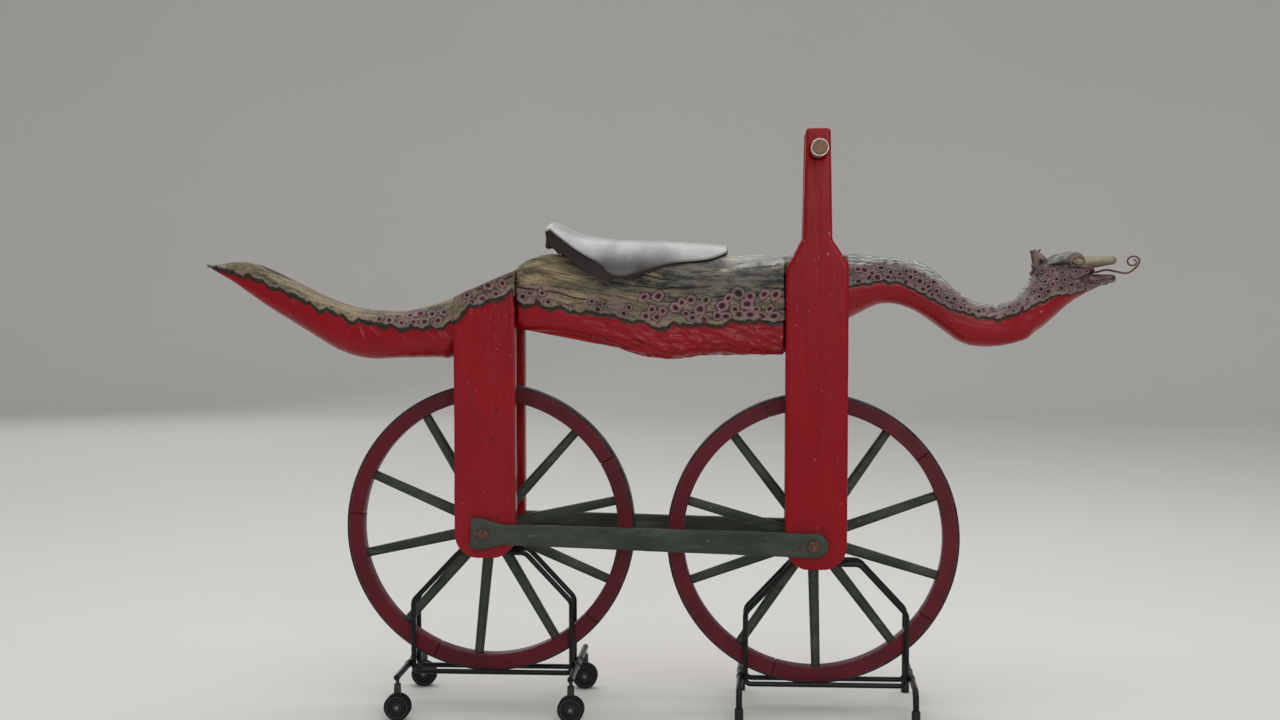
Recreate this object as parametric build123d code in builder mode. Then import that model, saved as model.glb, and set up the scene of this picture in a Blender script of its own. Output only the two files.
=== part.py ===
from build123d import *
import os
from math import cos, radians, sin

# A wooden running machine carved as a dragon: two spoked wooden wheels in line under a long
# body, held off the floor by two stands of bent tube. Millimetres. X runs forward to the head,
# Y to the left and Z up from the floor. The origin is under the middle of the whole length.
# Places along the machine are given ahead of the rear axle, and heights of the body above its
# belly line. Body tables give shares of a piece's length, from its rear end to its front end.

# Wheels
WHEEL_RADIUS = 240
WHEELBASE = 534
REAR_LIFT = 58
FRONT_LIFT = 44
TYRE_WALL = 2.5
TYRE_WIDTH = 28
FELLOE_DEPTH = 24.5
FELLOE_WIDTH = 30
FELLOE_COUNT = 5
FELLOE_JOINT = 0.8
SPOKE_COUNT = 10
SPOKE_HUB_WIDTH = 18
SPOKE_RIM_WIDTH = 14
SPOKE_THICKNESS = 16
SPOKE_BEVEL = 4
HUB_RADIUS = 30
HUB_END_RADIUS = 26
HUB_LENGTH = 40
HUB_BARREL = 22
REAR_SPOKE_TURN = 12.3
FRONT_SPOKE_TURN = 19.6

# Axles, collars and nuts
AXLE_RADIUS = 5
AXLE_CLEARANCE = 0.05
RUNNING_GAP = 1
COLLAR_RADIUS = 37
SEAT_DEPTH = 1.5
NUT_RADIUS = 9.8
NUT_THICKNESS = 8
AXLE_STUB = 2.5

# Uprights and side rails
UPRIGHT_WIDTH = 101
UPRIGHT_THICKNESS = 28
UPRIGHT_FOOT = 42
UPRIGHT_FOOT_ROUND = 40
FRONT_UPRIGHT_SHIFT = 4
REAR_SHOULDER = 103
REAR_SHOULDER_CLIMB = 44
SHOULDER_RISE = 147
SHOULDER_CLIMB = 10
POST_FOOT_RISE = 196
POST_TOP_RISE = 374
POST_FOOT_WIDTH = 48
POST_TOP_WIDTH = 41
POST_CHAMFER = 4
RAIL_THICKNESS = 14
RAIL_HEIGHT = 34
RAIL_TAIL_HEIGHT = 52
RAIL_TAIL_LENGTH = 22
RAIL_TAIL_FLAT = 5
RAIL_NECK = 30
RAIL_NOSE_RADIUS = 20
RAIL_NOSE_LENGTH = 4

# Handlebar
BAR_RADIUS = 12
BAR_LENGTH = 400
BAR_DROP = 37
FERRULE_WALL = 1.5
FERRULE_LENGTH = 24
FERRULE_SETBACK = 4

# Body
BELLY_RISE = 282
CORE_WIDTH = 100
CORE_TOP = 170
BULGE_GAP = 1
BULGE_TOP = 172
BULGE_WIDTH = 144
SECTION_ROUND = 0.42
BULGE_ROUND = 0.2
TAIL_LENGTH = 426
NECK_LENGTH = 300
HEAD_LENGTH = 136
MOUTH_DEPTH = 36
MOUTH_RISE = 144
MOUTH_TOP = 157
MOUTH_BOTTOM = 141
EAR_SIDE = 27
EAR_SETBACK = 122
EAR_FOOT = 142
EAR_HEIGHT = 39
EAR_LEAN = 11
EAR_LENGTH = 22
EAR_WIDTH = 13
EAR_TIP_LENGTH = 4
EAR_TIP_WIDTH = 3

# Tongue
WIRE_RADIUS = 1.75
TONGUE_RUN = 60
CURL_RADIUS = 11
INNER_CURL_RADIUS = 6

# Saddle
SADDLE_START = 96
SADDLE_LENGTH = 298
SADDLE_WIDTH = 194
SADDLE_SEAT = 171
SADDLE_GAP = 1

# Stands
TUBE_RADIUS = 4.25
HOOP_OFFSET = 24.5
HOOP_WIDTH = 264
HOOP_SLANT = 82
HOOP_TOP_WIDTH = 110
HOOP_BEND = 18
HOOP_FOOT_BEND = 9
REAR_HOOP_SHIFT = 4.5
FRONT_HOOP_SHIFT = 22
CROSS_RADIUS = 5
CROSS_LIFT = 12
WELD_DEPTH = 0.6
STAND_TRACK = 250
CROSS_BEND = 24
CROSS_OVERHANG = 7
FOOT_CAP_WALL = 2
FOOT_CAP_HEIGHT = 26

# Casters
CASTER_RADIUS = 21.5
CASTER_DISC_WIDTH = 8
CASTER_CHAMFER = 1.5
CASTER_DISH_RADIUS = 15
CASTER_NAVE_RADIUS = 6
CASTER_DISH_DEPTH = 2
CASTER_WEB = 5
CASTER_GAP = 0.8
CASTER_PIN_RADIUS = 3
CASTER_BOSS_RADIUS = 14
STEM_RADIUS = 3
STEM_SOCKET = 6
STEM_SHOULDER_RADIUS = 5.5
STEM_SHOULDER = 6
STEM_NECK = 6

# Places that follow from the sizes above
REAR_AXLE_Z = WHEEL_RADIUS + REAR_LIFT
FRONT_AXLE_Z = WHEEL_RADIUS + FRONT_LIFT
BELLY_Z = REAR_AXLE_Z + BELLY_RISE
UPRIGHT_HALF = UPRIGHT_WIDTH / 2
FRONT_UPRIGHT = WHEELBASE + FRONT_UPRIGHT_SHIFT
TRUNK_START = -UPRIGHT_HALF
TRUNK_END = FRONT_UPRIGHT + UPRIGHT_HALF
HEAD_START = TRUNK_END + NECK_LENGTH
HEAD_END = HEAD_START + HEAD_LENGTH
TONGUE_ROOT = HEAD_END - MOUTH_DEPTH
TONGUE_END = TONGUE_ROOT + TONGUE_RUN + CURL_RADIUS + WIRE_RADIUS
REAR_AXLE_X = (TAIL_LENGTH - TRUNK_START - TONGUE_END) / 2
CORE_SIDE = CORE_WIDTH / 2
UPRIGHT_SIDE = CORE_SIDE + UPRIGHT_THICKNESS
RAIL_SIDE = UPRIGHT_SIDE + RAIL_THICKNESS
AXLE_END = RAIL_SIDE + NUT_THICKNESS + AXLE_STUB
HUB_END = HUB_LENGTH / 2
FELLOE_OUTER = WHEEL_RADIUS - TYRE_WALL
FELLOE_INNER = FELLOE_OUTER - FELLOE_DEPTH
FELLOE_MIDDLE = FELLOE_OUTER - FELLOE_DEPTH / 2
BAR_RISE = POST_TOP_RISE - BAR_DROP
BAR_END = BAR_LENGTH / 2
HOOP_DROP = COLLAR_RADIUS + TUBE_RADIUS - SEAT_DEPTH
CROSS_OUT = TUBE_RADIUS + CROSS_RADIUS - WELD_DEPTH
TRACK_SIDE = STAND_TRACK / 2
# name, sign of Y
SIDES = (("left", 1), ("right", -1))
# name, axle ahead of the rear axle, axle height, turn of the first spoke, shift of the stand
WHEELS = (
    ("rear", 0, REAR_AXLE_Z, REAR_SPOKE_TURN, REAR_HOOP_SHIFT),
    ("front", WHEELBASE, FRONT_AXLE_Z, FRONT_SPOKE_TURN, FRONT_HOOP_SHIFT),
)

os.makedirs("parts", exist_ok=True)


def save(piece, name):
    """Label a finished piece and write it to its own file."""
    piece.part.label = name
    export_step(piece.part, f"parts/{name}.step")


def along(distance):
    """X of a place this far ahead of the rear axle."""
    return REAR_AXLE_X + distance


def side_plane(y):
    """Plane seen from the right side at this Y, with X across and Z up."""
    return Plane.XZ.offset(-y)


def places(points):
    """Side-view places from distances ahead of the rear axle and heights above the belly."""
    return [(along(ahead), BELLY_Z + rise) for ahead, rise in points]


def side_extrude(points, half_width, mode=Mode.ADD):
    """Extrude a closed side-view outline to both sides of the middle."""
    with BuildSketch(Plane.XZ) as face:
        with BuildLine():
            Polyline(places(points), close=True)
        make_face()
    extrude(face.sketch, amount=half_width, both=True, mode=mode)


def body_loft(start, length, table, rounding=SECTION_ROUND):
    """Smooth body through rounded upright sections, placed by shares of its length."""
    sections = []
    for share, bottom, top, width in table:
        round_radius = rounding * min(width, top - bottom)
        with BuildSketch(Plane.YZ.offset(along(start + share * length))) as section:
            with Locations((0, BELLY_Z + (bottom + top) / 2)):
                RectangleRounded(width, top - bottom, round_radius)
        sections.append(section.sketch)
    loft(sections)


def cross_bore(x, z, radius):
    """Cut a round bore right across the part, along Y."""
    with BuildSketch(Plane.XZ) as bore:
        with Locations((x, z)):
            Circle(radius)
    extrude(bore.sketch, amount=BAR_LENGTH, both=True, mode=Mode.SUBTRACT)


# Trunk: a core runs between the uprights, carved sides swell out between them, and the top is
# flat under the saddle.
CORE_OUTLINE = (
    (TRUNK_START, 2),
    (TRUNK_START, REAR_SHOULDER),
    (UPRIGHT_HALF, REAR_SHOULDER + REAR_SHOULDER_CLIMB),
    (2 * UPRIGHT_HALF, CORE_TOP),
    (TRUNK_END, CORE_TOP),
    (TRUNK_END, 64),
    (FRONT_UPRIGHT - UPRIGHT_HALF, 12),
    (FRONT_UPRIGHT / 2, 6),
    (UPRIGHT_HALF, 49),
)
BULGE_START = UPRIGHT_HALF + BULGE_GAP
BULGE_LENGTH = FRONT_UPRIGHT - UPRIGHT_HALF - BULGE_GAP - BULGE_START
# share of the length, bottom, top, width
BULGE_SECTIONS = (
    (0, 48, 152, 132),
    (0.11, 43, BULGE_TOP, BULGE_WIDTH),
    (0.29, 29, BULGE_TOP, BULGE_WIDTH),
    (0.45, 6, BULGE_TOP, BULGE_WIDTH),
    (0.67, 4, BULGE_TOP, BULGE_WIDTH),
    (1, 10, 169, 136),
)
SADDLE_END = SADDLE_START + SADDLE_LENGTH
with BuildPart() as trunk:
    side_extrude(CORE_OUTLINE, CORE_SIDE)
    body_loft(BULGE_START, BULGE_LENGTH, BULGE_SECTIONS, BULGE_ROUND)
    SEAT_CUT = (
        (SADDLE_START, SADDLE_SEAT),
        (SADDLE_END, SADDLE_SEAT),
        (SADDLE_END, SADDLE_SEAT + BULGE_TOP),
        (SADDLE_START, SADDLE_SEAT + BULGE_TOP),
    )
    side_extrude(SEAT_CUT, BULGE_WIDTH, Mode.SUBTRACT)
save(trunk, "trunk")

# Tail: seats on the rear end of the trunk and sweeps up to a point.
# share of the length, bottom, top, width
TAIL_SECTIONS = (
    (0, 150, 156, 6),
    (0.09, 127, 157, 24),
    (0.2, 95, 155, 44),
    (0.32, 63, 133, 62),
    (0.445, 35, 106, 78),
    (0.58, 8, 84, 94),
    (0.7, 0, 78, 106),
    (0.845, 0, 89, 118),
    (1, 2, 104, 128),
)
with BuildPart() as tail:
    body_loft(TRUNK_START - TAIL_LENGTH, TAIL_LENGTH, TAIL_SECTIONS)
save(tail, "tail")

# Neck: dips ahead of the front uprights and rises into the head.
# share of the length, bottom, top, width
NECK_SECTIONS = (
    (0, 64, 170, 104),
    (0.11, 81, 170, 96),
    (0.24, 92, 167, 88),
    (0.37, 82, 161, 80),
    (0.505, 53, 136, 76),
    (0.655, 29, 101, 74),
    (0.82, 23, 89, 76),
    (1, 45, 124, 88),
)
with BuildPart() as neck:
    body_loft(TRUNK_END, NECK_LENGTH, NECK_SECTIONS)
save(neck, "neck")

# Head: brow, snout, open mouth with a hole for the tongue, and a pair of upright ears.
# share of the length, bottom, top, width
HEAD_SECTIONS = (
    (0, 45, 147, 88),
    (0.17, 62, 160, 92),
    (0.41, 88, 176, 84),
    (0.61, 104, 167, 66),
    (1, 128, 169, 40),
)
MOUTH = (
    (TONGUE_ROOT, MOUTH_RISE),
    (HEAD_END, MOUTH_TOP),
    (HEAD_END, MOUTH_BOTTOM),
)
TONGUE_Z = BELLY_Z + MOUTH_RISE
EAR_AHEAD = HEAD_END - EAR_SETBACK
# height, lean back, length and width at the foot and the tip of an ear
EAR_SECTIONS = (
    (EAR_FOOT, 0, EAR_LENGTH, EAR_WIDTH),
    (EAR_FOOT + EAR_HEIGHT, EAR_LEAN, EAR_TIP_LENGTH, EAR_TIP_WIDTH),
)
with BuildPart() as head:
    body_loft(HEAD_START, HEAD_LENGTH, HEAD_SECTIONS)
    side_extrude(MOUTH, CORE_SIDE, Mode.SUBTRACT)
    with BuildSketch(Plane.YZ.offset(along(TONGUE_ROOT))):
        with Locations((0, TONGUE_Z)):
            Circle(WIRE_RADIUS)
    extrude(amount=MOUTH_DEPTH, mode=Mode.SUBTRACT)
    for side, sign in SIDES:
        for rise, lean, length, width in EAR_SECTIONS:
            with BuildSketch(Plane.XY.offset(BELLY_Z + rise)):
                with Locations((along(EAR_AHEAD - lean), sign * EAR_SIDE)):
                    Ellipse(length / 2, width / 2)
        loft()
save(head, "head")

# Tongue: a wire that leaves the corner of the mouth and curls up on itself.
with BuildPart() as tongue:
    with BuildLine(Plane.XZ):
        root_x, bend_x = along(TONGUE_ROOT), along(TONGUE_ROOT + TONGUE_RUN)
        curl_z = TONGUE_Z + CURL_RADIUS
        Line((root_x, TONGUE_Z), (bend_x, TONGUE_Z))
        CenterArc((bend_x, curl_z), CURL_RADIUS, -90, 270)
        inner_x = bend_x - CURL_RADIUS + INNER_CURL_RADIUS
        CenterArc((inner_x, curl_z), INNER_CURL_RADIUS, 180, 180)
    with BuildSketch(Plane.YZ.offset(root_x)):
        with Locations((0, TONGUE_Z)):
            Circle(WIRE_RADIUS)
    sweep()
save(tongue, "tongue")

# Uprights: boards on both sides of the trunk. The rear pair ends at the line of the back, and
# the front pair narrows into posts that carry the handlebar.
REAR_UPRIGHT_TOP = (
    (TRUNK_START, REAR_SHOULDER),
    (UPRIGHT_HALF, REAR_SHOULDER + REAR_SHOULDER_CLIMB),
)
FRONT_UPRIGHT_TOP = (
    (FRONT_UPRIGHT - UPRIGHT_HALF, SHOULDER_RISE),
    (FRONT_UPRIGHT - POST_FOOT_WIDTH / 2, POST_FOOT_RISE),
    (FRONT_UPRIGHT - POST_TOP_WIDTH / 2, POST_TOP_RISE - POST_CHAMFER),
    (FRONT_UPRIGHT - POST_TOP_WIDTH / 2 + POST_CHAMFER, POST_TOP_RISE),
    (FRONT_UPRIGHT + POST_TOP_WIDTH / 2 - POST_CHAMFER, POST_TOP_RISE),
    (FRONT_UPRIGHT + POST_TOP_WIDTH / 2, POST_TOP_RISE - POST_CHAMFER),
    (FRONT_UPRIGHT + POST_FOOT_WIDTH / 2, POST_FOOT_RISE),
    (FRONT_UPRIGHT + UPRIGHT_HALF, SHOULDER_RISE + SHOULDER_CLIMB),
)
for name, axle, axle_z, turn, shift in WHEELS:
    centre, top = (0, REAR_UPRIGHT_TOP) if name == "rear" else (FRONT_UPRIGHT, FRONT_UPRIGHT_TOP)
    foot_rise = axle_z - UPRIGHT_FOOT - BELLY_Z
    feet = ((centre + UPRIGHT_HALF, foot_rise), (centre - UPRIGHT_HALF, foot_rise))
    for side, sign in SIDES:
        with BuildPart() as upright:
            with BuildSketch(side_plane(sign * CORE_SIDE)) as board:
                with BuildLine():
                    Polyline(places(top + feet), close=True)
                make_face()
                fillet(board.vertices().group_by(Axis.Y)[0], UPRIGHT_FOOT_ROUND)
            extrude(amount=-sign * UPRIGHT_THICKNESS)
            cross_bore(along(axle), axle_z, AXLE_RADIUS)
            if name == "front":
                cross_bore(along(FRONT_UPRIGHT), BELLY_Z + BAR_RISE, BAR_RADIUS)
        save(upright, f"{name}_upright_{side}")

# Handlebar: a round wooden bar through both posts, with a metal ring near each end.
with BuildPart() as handlebar:
    with BuildSketch(Plane.XZ):
        with Locations((along(FRONT_UPRIGHT), BELLY_Z + BAR_RISE)):
            Circle(BAR_RADIUS)
    extrude(amount=BAR_END, both=True)
    chamfer(handlebar.edges().filter_by(GeomType.CIRCLE), FERRULE_WALL)
save(handlebar, "handlebar")
with BuildPart() as ferrules:
    for side, sign in SIDES:
        with BuildSketch(side_plane(sign * (BAR_END - FERRULE_SETBACK))):
            with Locations((along(FRONT_UPRIGHT), BELLY_Z + BAR_RISE)):
                Circle(BAR_RADIUS + FERRULE_WALL)
                Circle(BAR_RADIUS, mode=Mode.SUBTRACT)
        extrude(amount=sign * FERRULE_LENGTH)
save(ferrules, "handlebar_ferrules")

# Side rails: one each side, nailed over the uprights along the line of the two axles.
rail_line = Vector(WHEELBASE, 0, FRONT_AXLE_Z - REAR_AXLE_Z)
nose = rail_line.length + RAIL_NOSE_LENGTH
RAIL_UPPER = [
    (-RAIL_TAIL_LENGTH, RAIL_TAIL_HEIGHT / 2),
    (-RAIL_TAIL_FLAT, RAIL_TAIL_HEIGHT / 2),
    (RAIL_NECK, RAIL_HEIGHT / 2),
    (nose, RAIL_NOSE_RADIUS),
]
for side, sign in SIDES:
    rail_plane = Plane(
        origin=(REAR_AXLE_X, sign * UPRIGHT_SIDE, REAR_AXLE_Z),
        x_dir=rail_line,
        z_dir=(0, -1, 0),
    )
    with BuildPart() as rail:
        with BuildSketch(rail_plane):
            with BuildLine():
                lower = [(x, -y) for x, y in reversed(RAIL_UPPER)]
                Polyline(lower + RAIL_UPPER)
                RadiusArc(RAIL_UPPER[-1], lower[0], RAIL_NOSE_RADIUS)
            make_face()
        extrude(amount=-sign * RAIL_THICKNESS)
        for name, axle, axle_z, turn, shift in WHEELS:
            cross_bore(along(axle), axle_z, AXLE_RADIUS)
    save(rail, f"side_rail_{side}")

# Axles, fixed in the uprights, with a collar each side of the hub and a nut on each end.
for name, axle, axle_z, turn, shift in WHEELS:
    with BuildPart() as rod:
        with BuildSketch(Plane.XZ):
            with Locations((along(axle), axle_z)):
                Circle(AXLE_RADIUS)
        extrude(amount=AXLE_END, both=True)
    save(rod, f"{name}_axle")

    with BuildPart() as collars:
        for side, sign in SIDES:
            with BuildSketch(side_plane(sign * CORE_SIDE)):
                with Locations((along(axle), axle_z)):
                    Circle(COLLAR_RADIUS)
            extrude(amount=sign * (CORE_SIDE - HUB_END - RUNNING_GAP))
        cross_bore(along(axle), axle_z, AXLE_RADIUS)
        with BuildSketch(Plane.YZ.offset(along(axle))):
            with Locations(*((sign * HOOP_OFFSET, axle_z - HOOP_DROP) for side, sign in SIDES)):
                Circle(TUBE_RADIUS)
        extrude(amount=COLLAR_RADIUS, both=True, mode=Mode.SUBTRACT)
    save(collars, f"{name}_axle_collars")

    with BuildPart() as nuts:
        for side, sign in SIDES:
            with BuildSketch(side_plane(sign * RAIL_SIDE)):
                with Locations((along(axle), axle_z)):
                    RegularPolygon(NUT_RADIUS, 6)
            extrude(amount=-sign * NUT_THICKNESS)
        cross_bore(along(axle), axle_z, AXLE_RADIUS)
    save(nuts, f"{name}_axle_nuts")

# Wheels: turned hub, ten bevelled spokes, five felloes and an iron tyre.
HUB_BORE_RADIUS = AXLE_RADIUS + AXLE_CLEARANCE
# radius and place across the wheel
HUB_PROFILE = (
    (HUB_BORE_RADIUS, HUB_END),
    (HUB_END_RADIUS, HUB_END),
    (HUB_RADIUS, HUB_BARREL / 2),
    (HUB_RADIUS, -HUB_BARREL / 2),
    (HUB_END_RADIUS, -HUB_END),
    (HUB_BORE_RADIUS, -HUB_END),
)
for name, axle, axle_z, turn, shift in WHEELS:
    centre = Vector(along(axle), 0, axle_z)
    with BuildPart() as hub:
        with BuildSketch(Plane.XY.offset(axle_z)):
            with BuildLine():
                Polyline([(centre.X + radius, across) for radius, across in HUB_PROFILE], close=True)
            make_face()
        revolve(axis=Axis(centre, (0, 1, 0)))
    save(hub, f"{name}_hub")

    with BuildPart() as spokes:
        for index in range(SPOKE_COUNT):
            angle = radians(turn + 360 / SPOKE_COUNT * index)
            radial = Vector(cos(angle), 0, sin(angle))
            spoke_plane = Plane(origin=centre, x_dir=(0, 1, 0), z_dir=radial)
            for reach, width in ((HUB_END_RADIUS, SPOKE_HUB_WIDTH), (FELLOE_OUTER, SPOKE_RIM_WIDTH)):
                with BuildSketch(spoke_plane.offset(reach)) as section:
                    Rectangle(SPOKE_THICKNESS, width)
                    chamfer(section.vertices(), SPOKE_BEVEL)
            loft()
        with BuildSketch(Plane.XZ):
            with Locations((centre.X, centre.Z)):
                Circle(FELLOE_INNER)
                Circle(HUB_RADIUS, mode=Mode.SUBTRACT)
        extrude(amount=SPOKE_THICKNESS, both=True, mode=Mode.INTERSECT)
    save(spokes, f"{name}_spokes")

    with BuildPart() as felloes:
        with BuildSketch(Plane.XZ):
            with Locations((centre.X, centre.Z)):
                Circle(FELLOE_OUTER)
                Circle(FELLOE_INNER, mode=Mode.SUBTRACT)
                first_joint = turn + 180 / SPOKE_COUNT
                with PolarLocations(FELLOE_MIDDLE, FELLOE_COUNT, first_joint):
                    Rectangle(2 * FELLOE_DEPTH, FELLOE_JOINT, mode=Mode.SUBTRACT)
        extrude(amount=FELLOE_WIDTH / 2, both=True)
    save(felloes, f"{name}_felloes")

    with BuildPart() as tyre:
        with BuildSketch(Plane.XZ):
            with Locations((centre.X, centre.Z)):
                Circle(WHEEL_RADIUS)
                Circle(FELLOE_OUTER, mode=Mode.SUBTRACT)
        extrude(amount=TYRE_WIDTH / 2, both=True)
    save(tyre, f"{name}_tyre")

# Stands: two hoops of bent tube each, one either side of the wheel, with a cross tube welded
# to the foot of the hoops at each end. The hoops' tops carry the axle collars. The rear stand's
# cross tubes carry casters, and the front stand's are bent down into feet.
for name, axle, axle_z, turn, shift in WHEELS:
    base_z = axle_z - WHEEL_RADIUS
    top_z = axle_z - HOOP_DROP
    middle = along(axle + shift)
    rear_leg, front_leg = middle - HOOP_WIDTH / 2, middle + HOOP_WIDTH / 2
    for side, sign in SIDES:
        with BuildPart() as hoop:
            with BuildLine(side_plane(sign * HOOP_OFFSET)) as path:
                FilletPolyline(
                    (rear_leg, base_z),
                    (front_leg, base_z),
                    (front_leg, top_z - HOOP_SLANT),
                    (middle + HOOP_TOP_WIDTH / 2, top_z),
                    (middle - HOOP_TOP_WIDTH / 2, top_z),
                    (rear_leg, top_z - HOOP_SLANT),
                    radius=(HOOP_FOOT_BEND, HOOP_FOOT_BEND) + 4 * (HOOP_BEND,),
                    close=True,
                )
            with BuildSketch(Plane(origin=path.line @ 0, z_dir=path.line % 0)):
                Circle(TUBE_RADIUS)
            sweep()
        save(hoop, f"{name}_stand_hoop_{side}")

    for end, leg, outward in (("rear", rear_leg, -1), ("front", front_leg, 1)):
        cross_x = leg + outward * CROSS_OUT
        cross_z = base_z + CROSS_LIFT
        with BuildPart() as cross_tube:
            if name == "rear":
                with BuildSketch(Plane.XZ):
                    with Locations((cross_x, cross_z)):
                        Circle(CROSS_RADIUS)
                extrude(amount=TRACK_SIDE + CROSS_OVERHANG, both=True)
                with BuildSketch(Plane.XY.offset(cross_z - CROSS_RADIUS)):
                    with Locations((cross_x, TRACK_SIDE), (cross_x, -TRACK_SIDE)):
                        Circle(STEM_RADIUS + AXLE_CLEARANCE)
                extrude(amount=STEM_SOCKET + AXLE_CLEARANCE, mode=Mode.SUBTRACT)
            else:
                with BuildLine(Plane.YZ.offset(cross_x)):
                    FilletPolyline(
                        (-TRACK_SIDE, FOOT_CAP_WALL),
                        (-TRACK_SIDE, cross_z),
                        (TRACK_SIDE, cross_z),
                        (TRACK_SIDE, FOOT_CAP_WALL),
                        radius=CROSS_BEND,
                    )
                with BuildSketch(Plane.XY.offset(FOOT_CAP_WALL)):
                    with Locations((cross_x, -TRACK_SIDE)):
                        Circle(CROSS_RADIUS)
                sweep()
            with BuildSketch(Plane.XY.offset(cross_z - CROSS_RADIUS)):
                with Locations(*((leg, sign * HOOP_OFFSET) for side, sign in SIDES)):
                    Circle(TUBE_RADIUS)
            extrude(amount=2 * CROSS_RADIUS, mode=Mode.SUBTRACT)
        save(cross_tube, f"{name}_stand_cross_tube_{end}")

# Rubber caps on the four feet of the front stand.
FRONT_STAND = along(WHEELBASE + FRONT_HOOP_SHIFT)
STAND_REACH = HOOP_WIDTH / 2 + CROSS_OUT
with BuildPart() as foot_caps:
    for foot_x in (FRONT_STAND - STAND_REACH, FRONT_STAND + STAND_REACH):
        for foot_y in (-TRACK_SIDE, TRACK_SIDE):
            with BuildSketch(Plane.XY):
                with Locations((foot_x, foot_y)):
                    Circle(CROSS_RADIUS + FOOT_CAP_WALL)
            extrude(amount=FOOT_CAP_HEIGHT)
            with BuildSketch(Plane.XY.offset(FOOT_CAP_WALL)):
                with Locations((foot_x, foot_y)):
                    Circle(CROSS_RADIUS)
            extrude(amount=FOOT_CAP_HEIGHT, mode=Mode.SUBTRACT)
save(foot_caps, "front_stand_foot_caps")

# Casters under the ends of the rear stand's cross tubes: a stem and web that swivel, and a
# pair of dished discs on one pin.
REAR_STAND = along(REAR_HOOP_SHIFT)
SOCKET_Z = REAR_LIFT + CROSS_LIFT - CROSS_RADIUS
SHOULDER_Z = SOCKET_Z - STEM_NECK - STEM_SHOULDER
DISC_INNER = CASTER_WEB / 2 + CASTER_GAP
DISC_OUTER = DISC_INNER + CASTER_DISC_WIDTH
DISC_RIM = CASTER_RADIUS - CASTER_CHAMFER
# radius and distance from the web's middle
DISC_PROFILE = (
    (CASTER_PIN_RADIUS, DISC_INNER),
    (DISC_RIM, DISC_INNER),
    (CASTER_RADIUS, DISC_INNER + CASTER_CHAMFER),
    (CASTER_RADIUS, DISC_OUTER - CASTER_CHAMFER),
    (DISC_RIM, DISC_OUTER),
    (CASTER_DISH_RADIUS, DISC_OUTER),
    (CASTER_DISH_RADIUS, DISC_OUTER - CASTER_DISH_DEPTH),
    (CASTER_NAVE_RADIUS, DISC_OUTER - CASTER_DISH_DEPTH),
    (CASTER_NAVE_RADIUS, DISC_OUTER),
    (0, DISC_OUTER),
)
PAIR_PROFILE = DISC_PROFILE + tuple((radius, -out) for radius, out in reversed(DISC_PROFILE))
for end, caster_x in (("rear", REAR_STAND - STAND_REACH), ("front", REAR_STAND + STAND_REACH)):
    for side, sign in SIDES:
        caster_y = sign * TRACK_SIDE
        with BuildPart() as swivel:
            with BuildSketch(side_plane(caster_y)):
                with Locations((caster_x, CASTER_RADIUS)):
                    Circle(CASTER_BOSS_RADIUS)
                with Locations((caster_x, (CASTER_RADIUS + SHOULDER_Z) / 2)):
                    Rectangle(2 * STEM_SHOULDER_RADIUS, SHOULDER_Z - CASTER_RADIUS)
                with Locations((caster_x, CASTER_RADIUS)):
                    Circle(CASTER_PIN_RADIUS + AXLE_CLEARANCE, mode=Mode.SUBTRACT)
            extrude(amount=CASTER_WEB / 2, both=True)
            for radius, reach in ((STEM_SHOULDER_RADIUS, STEM_SHOULDER),
                                  (STEM_RADIUS, STEM_SHOULDER + STEM_NECK + STEM_SOCKET)):
                with BuildSketch(Plane.XY.offset(SHOULDER_Z)):
                    with Locations((caster_x, caster_y)):
                        Circle(radius)
                extrude(amount=reach)
        save(swivel, f"caster_swivel_{end}_{side}")

        with BuildPart() as discs:
            with BuildSketch(Plane.XY.offset(CASTER_RADIUS)):
                with BuildLine():
                    Polyline([(caster_x + r, caster_y + y) for r, y in PAIR_PROFILE], close=True)
                make_face()
            revolve(axis=Axis((caster_x, caster_y, CASTER_RADIUS), (0, 1, 0)))
        save(discs, f"caster_discs_{end}_{side}")

# Saddle: a leather seat that rises at the back, with skirts that hang over the trunk's sides.
# share of the length and height, round the side view
SADDLE_OUTLINE = (
    (0, 216),
    (0.05, 226),
    (0.115, 214),
    (0.195, 205),
    (0.42, 196),
    (0.805, 190),
    (0.995, 186),
    (1, 176),
    (0.845, 165),
    (0.68, 165),
    (0.54, 146),
    (0.465, 139),
    (0.29, 144),
    (0.065, 177),
)
# share of the length and share of the width, from above
SADDLE_PLAN = (
    (0, 0.52),
    (0.07, 0.87),
    (0.35, 1),
    (0.54, 0.93),
    (0.685, 0.6),
    (0.855, 0.43),
    (1, 0.29),
)
with BuildPart() as saddle:
    seat_outline = [(SADDLE_START + share * SADDLE_LENGTH, rise) for share, rise in SADDLE_OUTLINE]
    side_extrude(seat_outline, SADDLE_WIDTH / 2)
    with BuildSketch(Plane.XY.offset(BELLY_Z)):
        with BuildLine():
            left = [
                (along(SADDLE_START + share * SADDLE_LENGTH), half * SADDLE_WIDTH / 2)
                for share, half in SADDLE_PLAN
            ]
            Polyline(left + [(x, -y) for x, y in reversed(left)], close=True)
        make_face()
    extrude(amount=POST_TOP_RISE, mode=Mode.INTERSECT)
    with BuildSketch(Plane.YZ.offset(along(SADDLE_START))):
        with Locations((0, BELLY_Z + SADDLE_SEAT / 2)):
            Rectangle(BULGE_WIDTH + 2 * SADDLE_GAP, SADDLE_SEAT)
    extrude(amount=SADDLE_LENGTH, mode=Mode.SUBTRACT)
save(saddle, "saddle")
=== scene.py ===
# %% [markdown]
# # A carved dragon running machine
# The machine is a wooden beam carved as a dragon, on two cart wheels, with posts for a handlebar
# and a leather saddle. Its solids come ready made, at their real size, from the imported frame.
# This lesson dresses them: the carving is cut into dense copies of the wooden solids, and every
# surface gets a finish made of nodes.

# %% Load the frame
import math
import bmesh
import bpy
import numpy as np
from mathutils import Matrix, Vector
from mathutils.bvhtree import BVHTree


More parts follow.
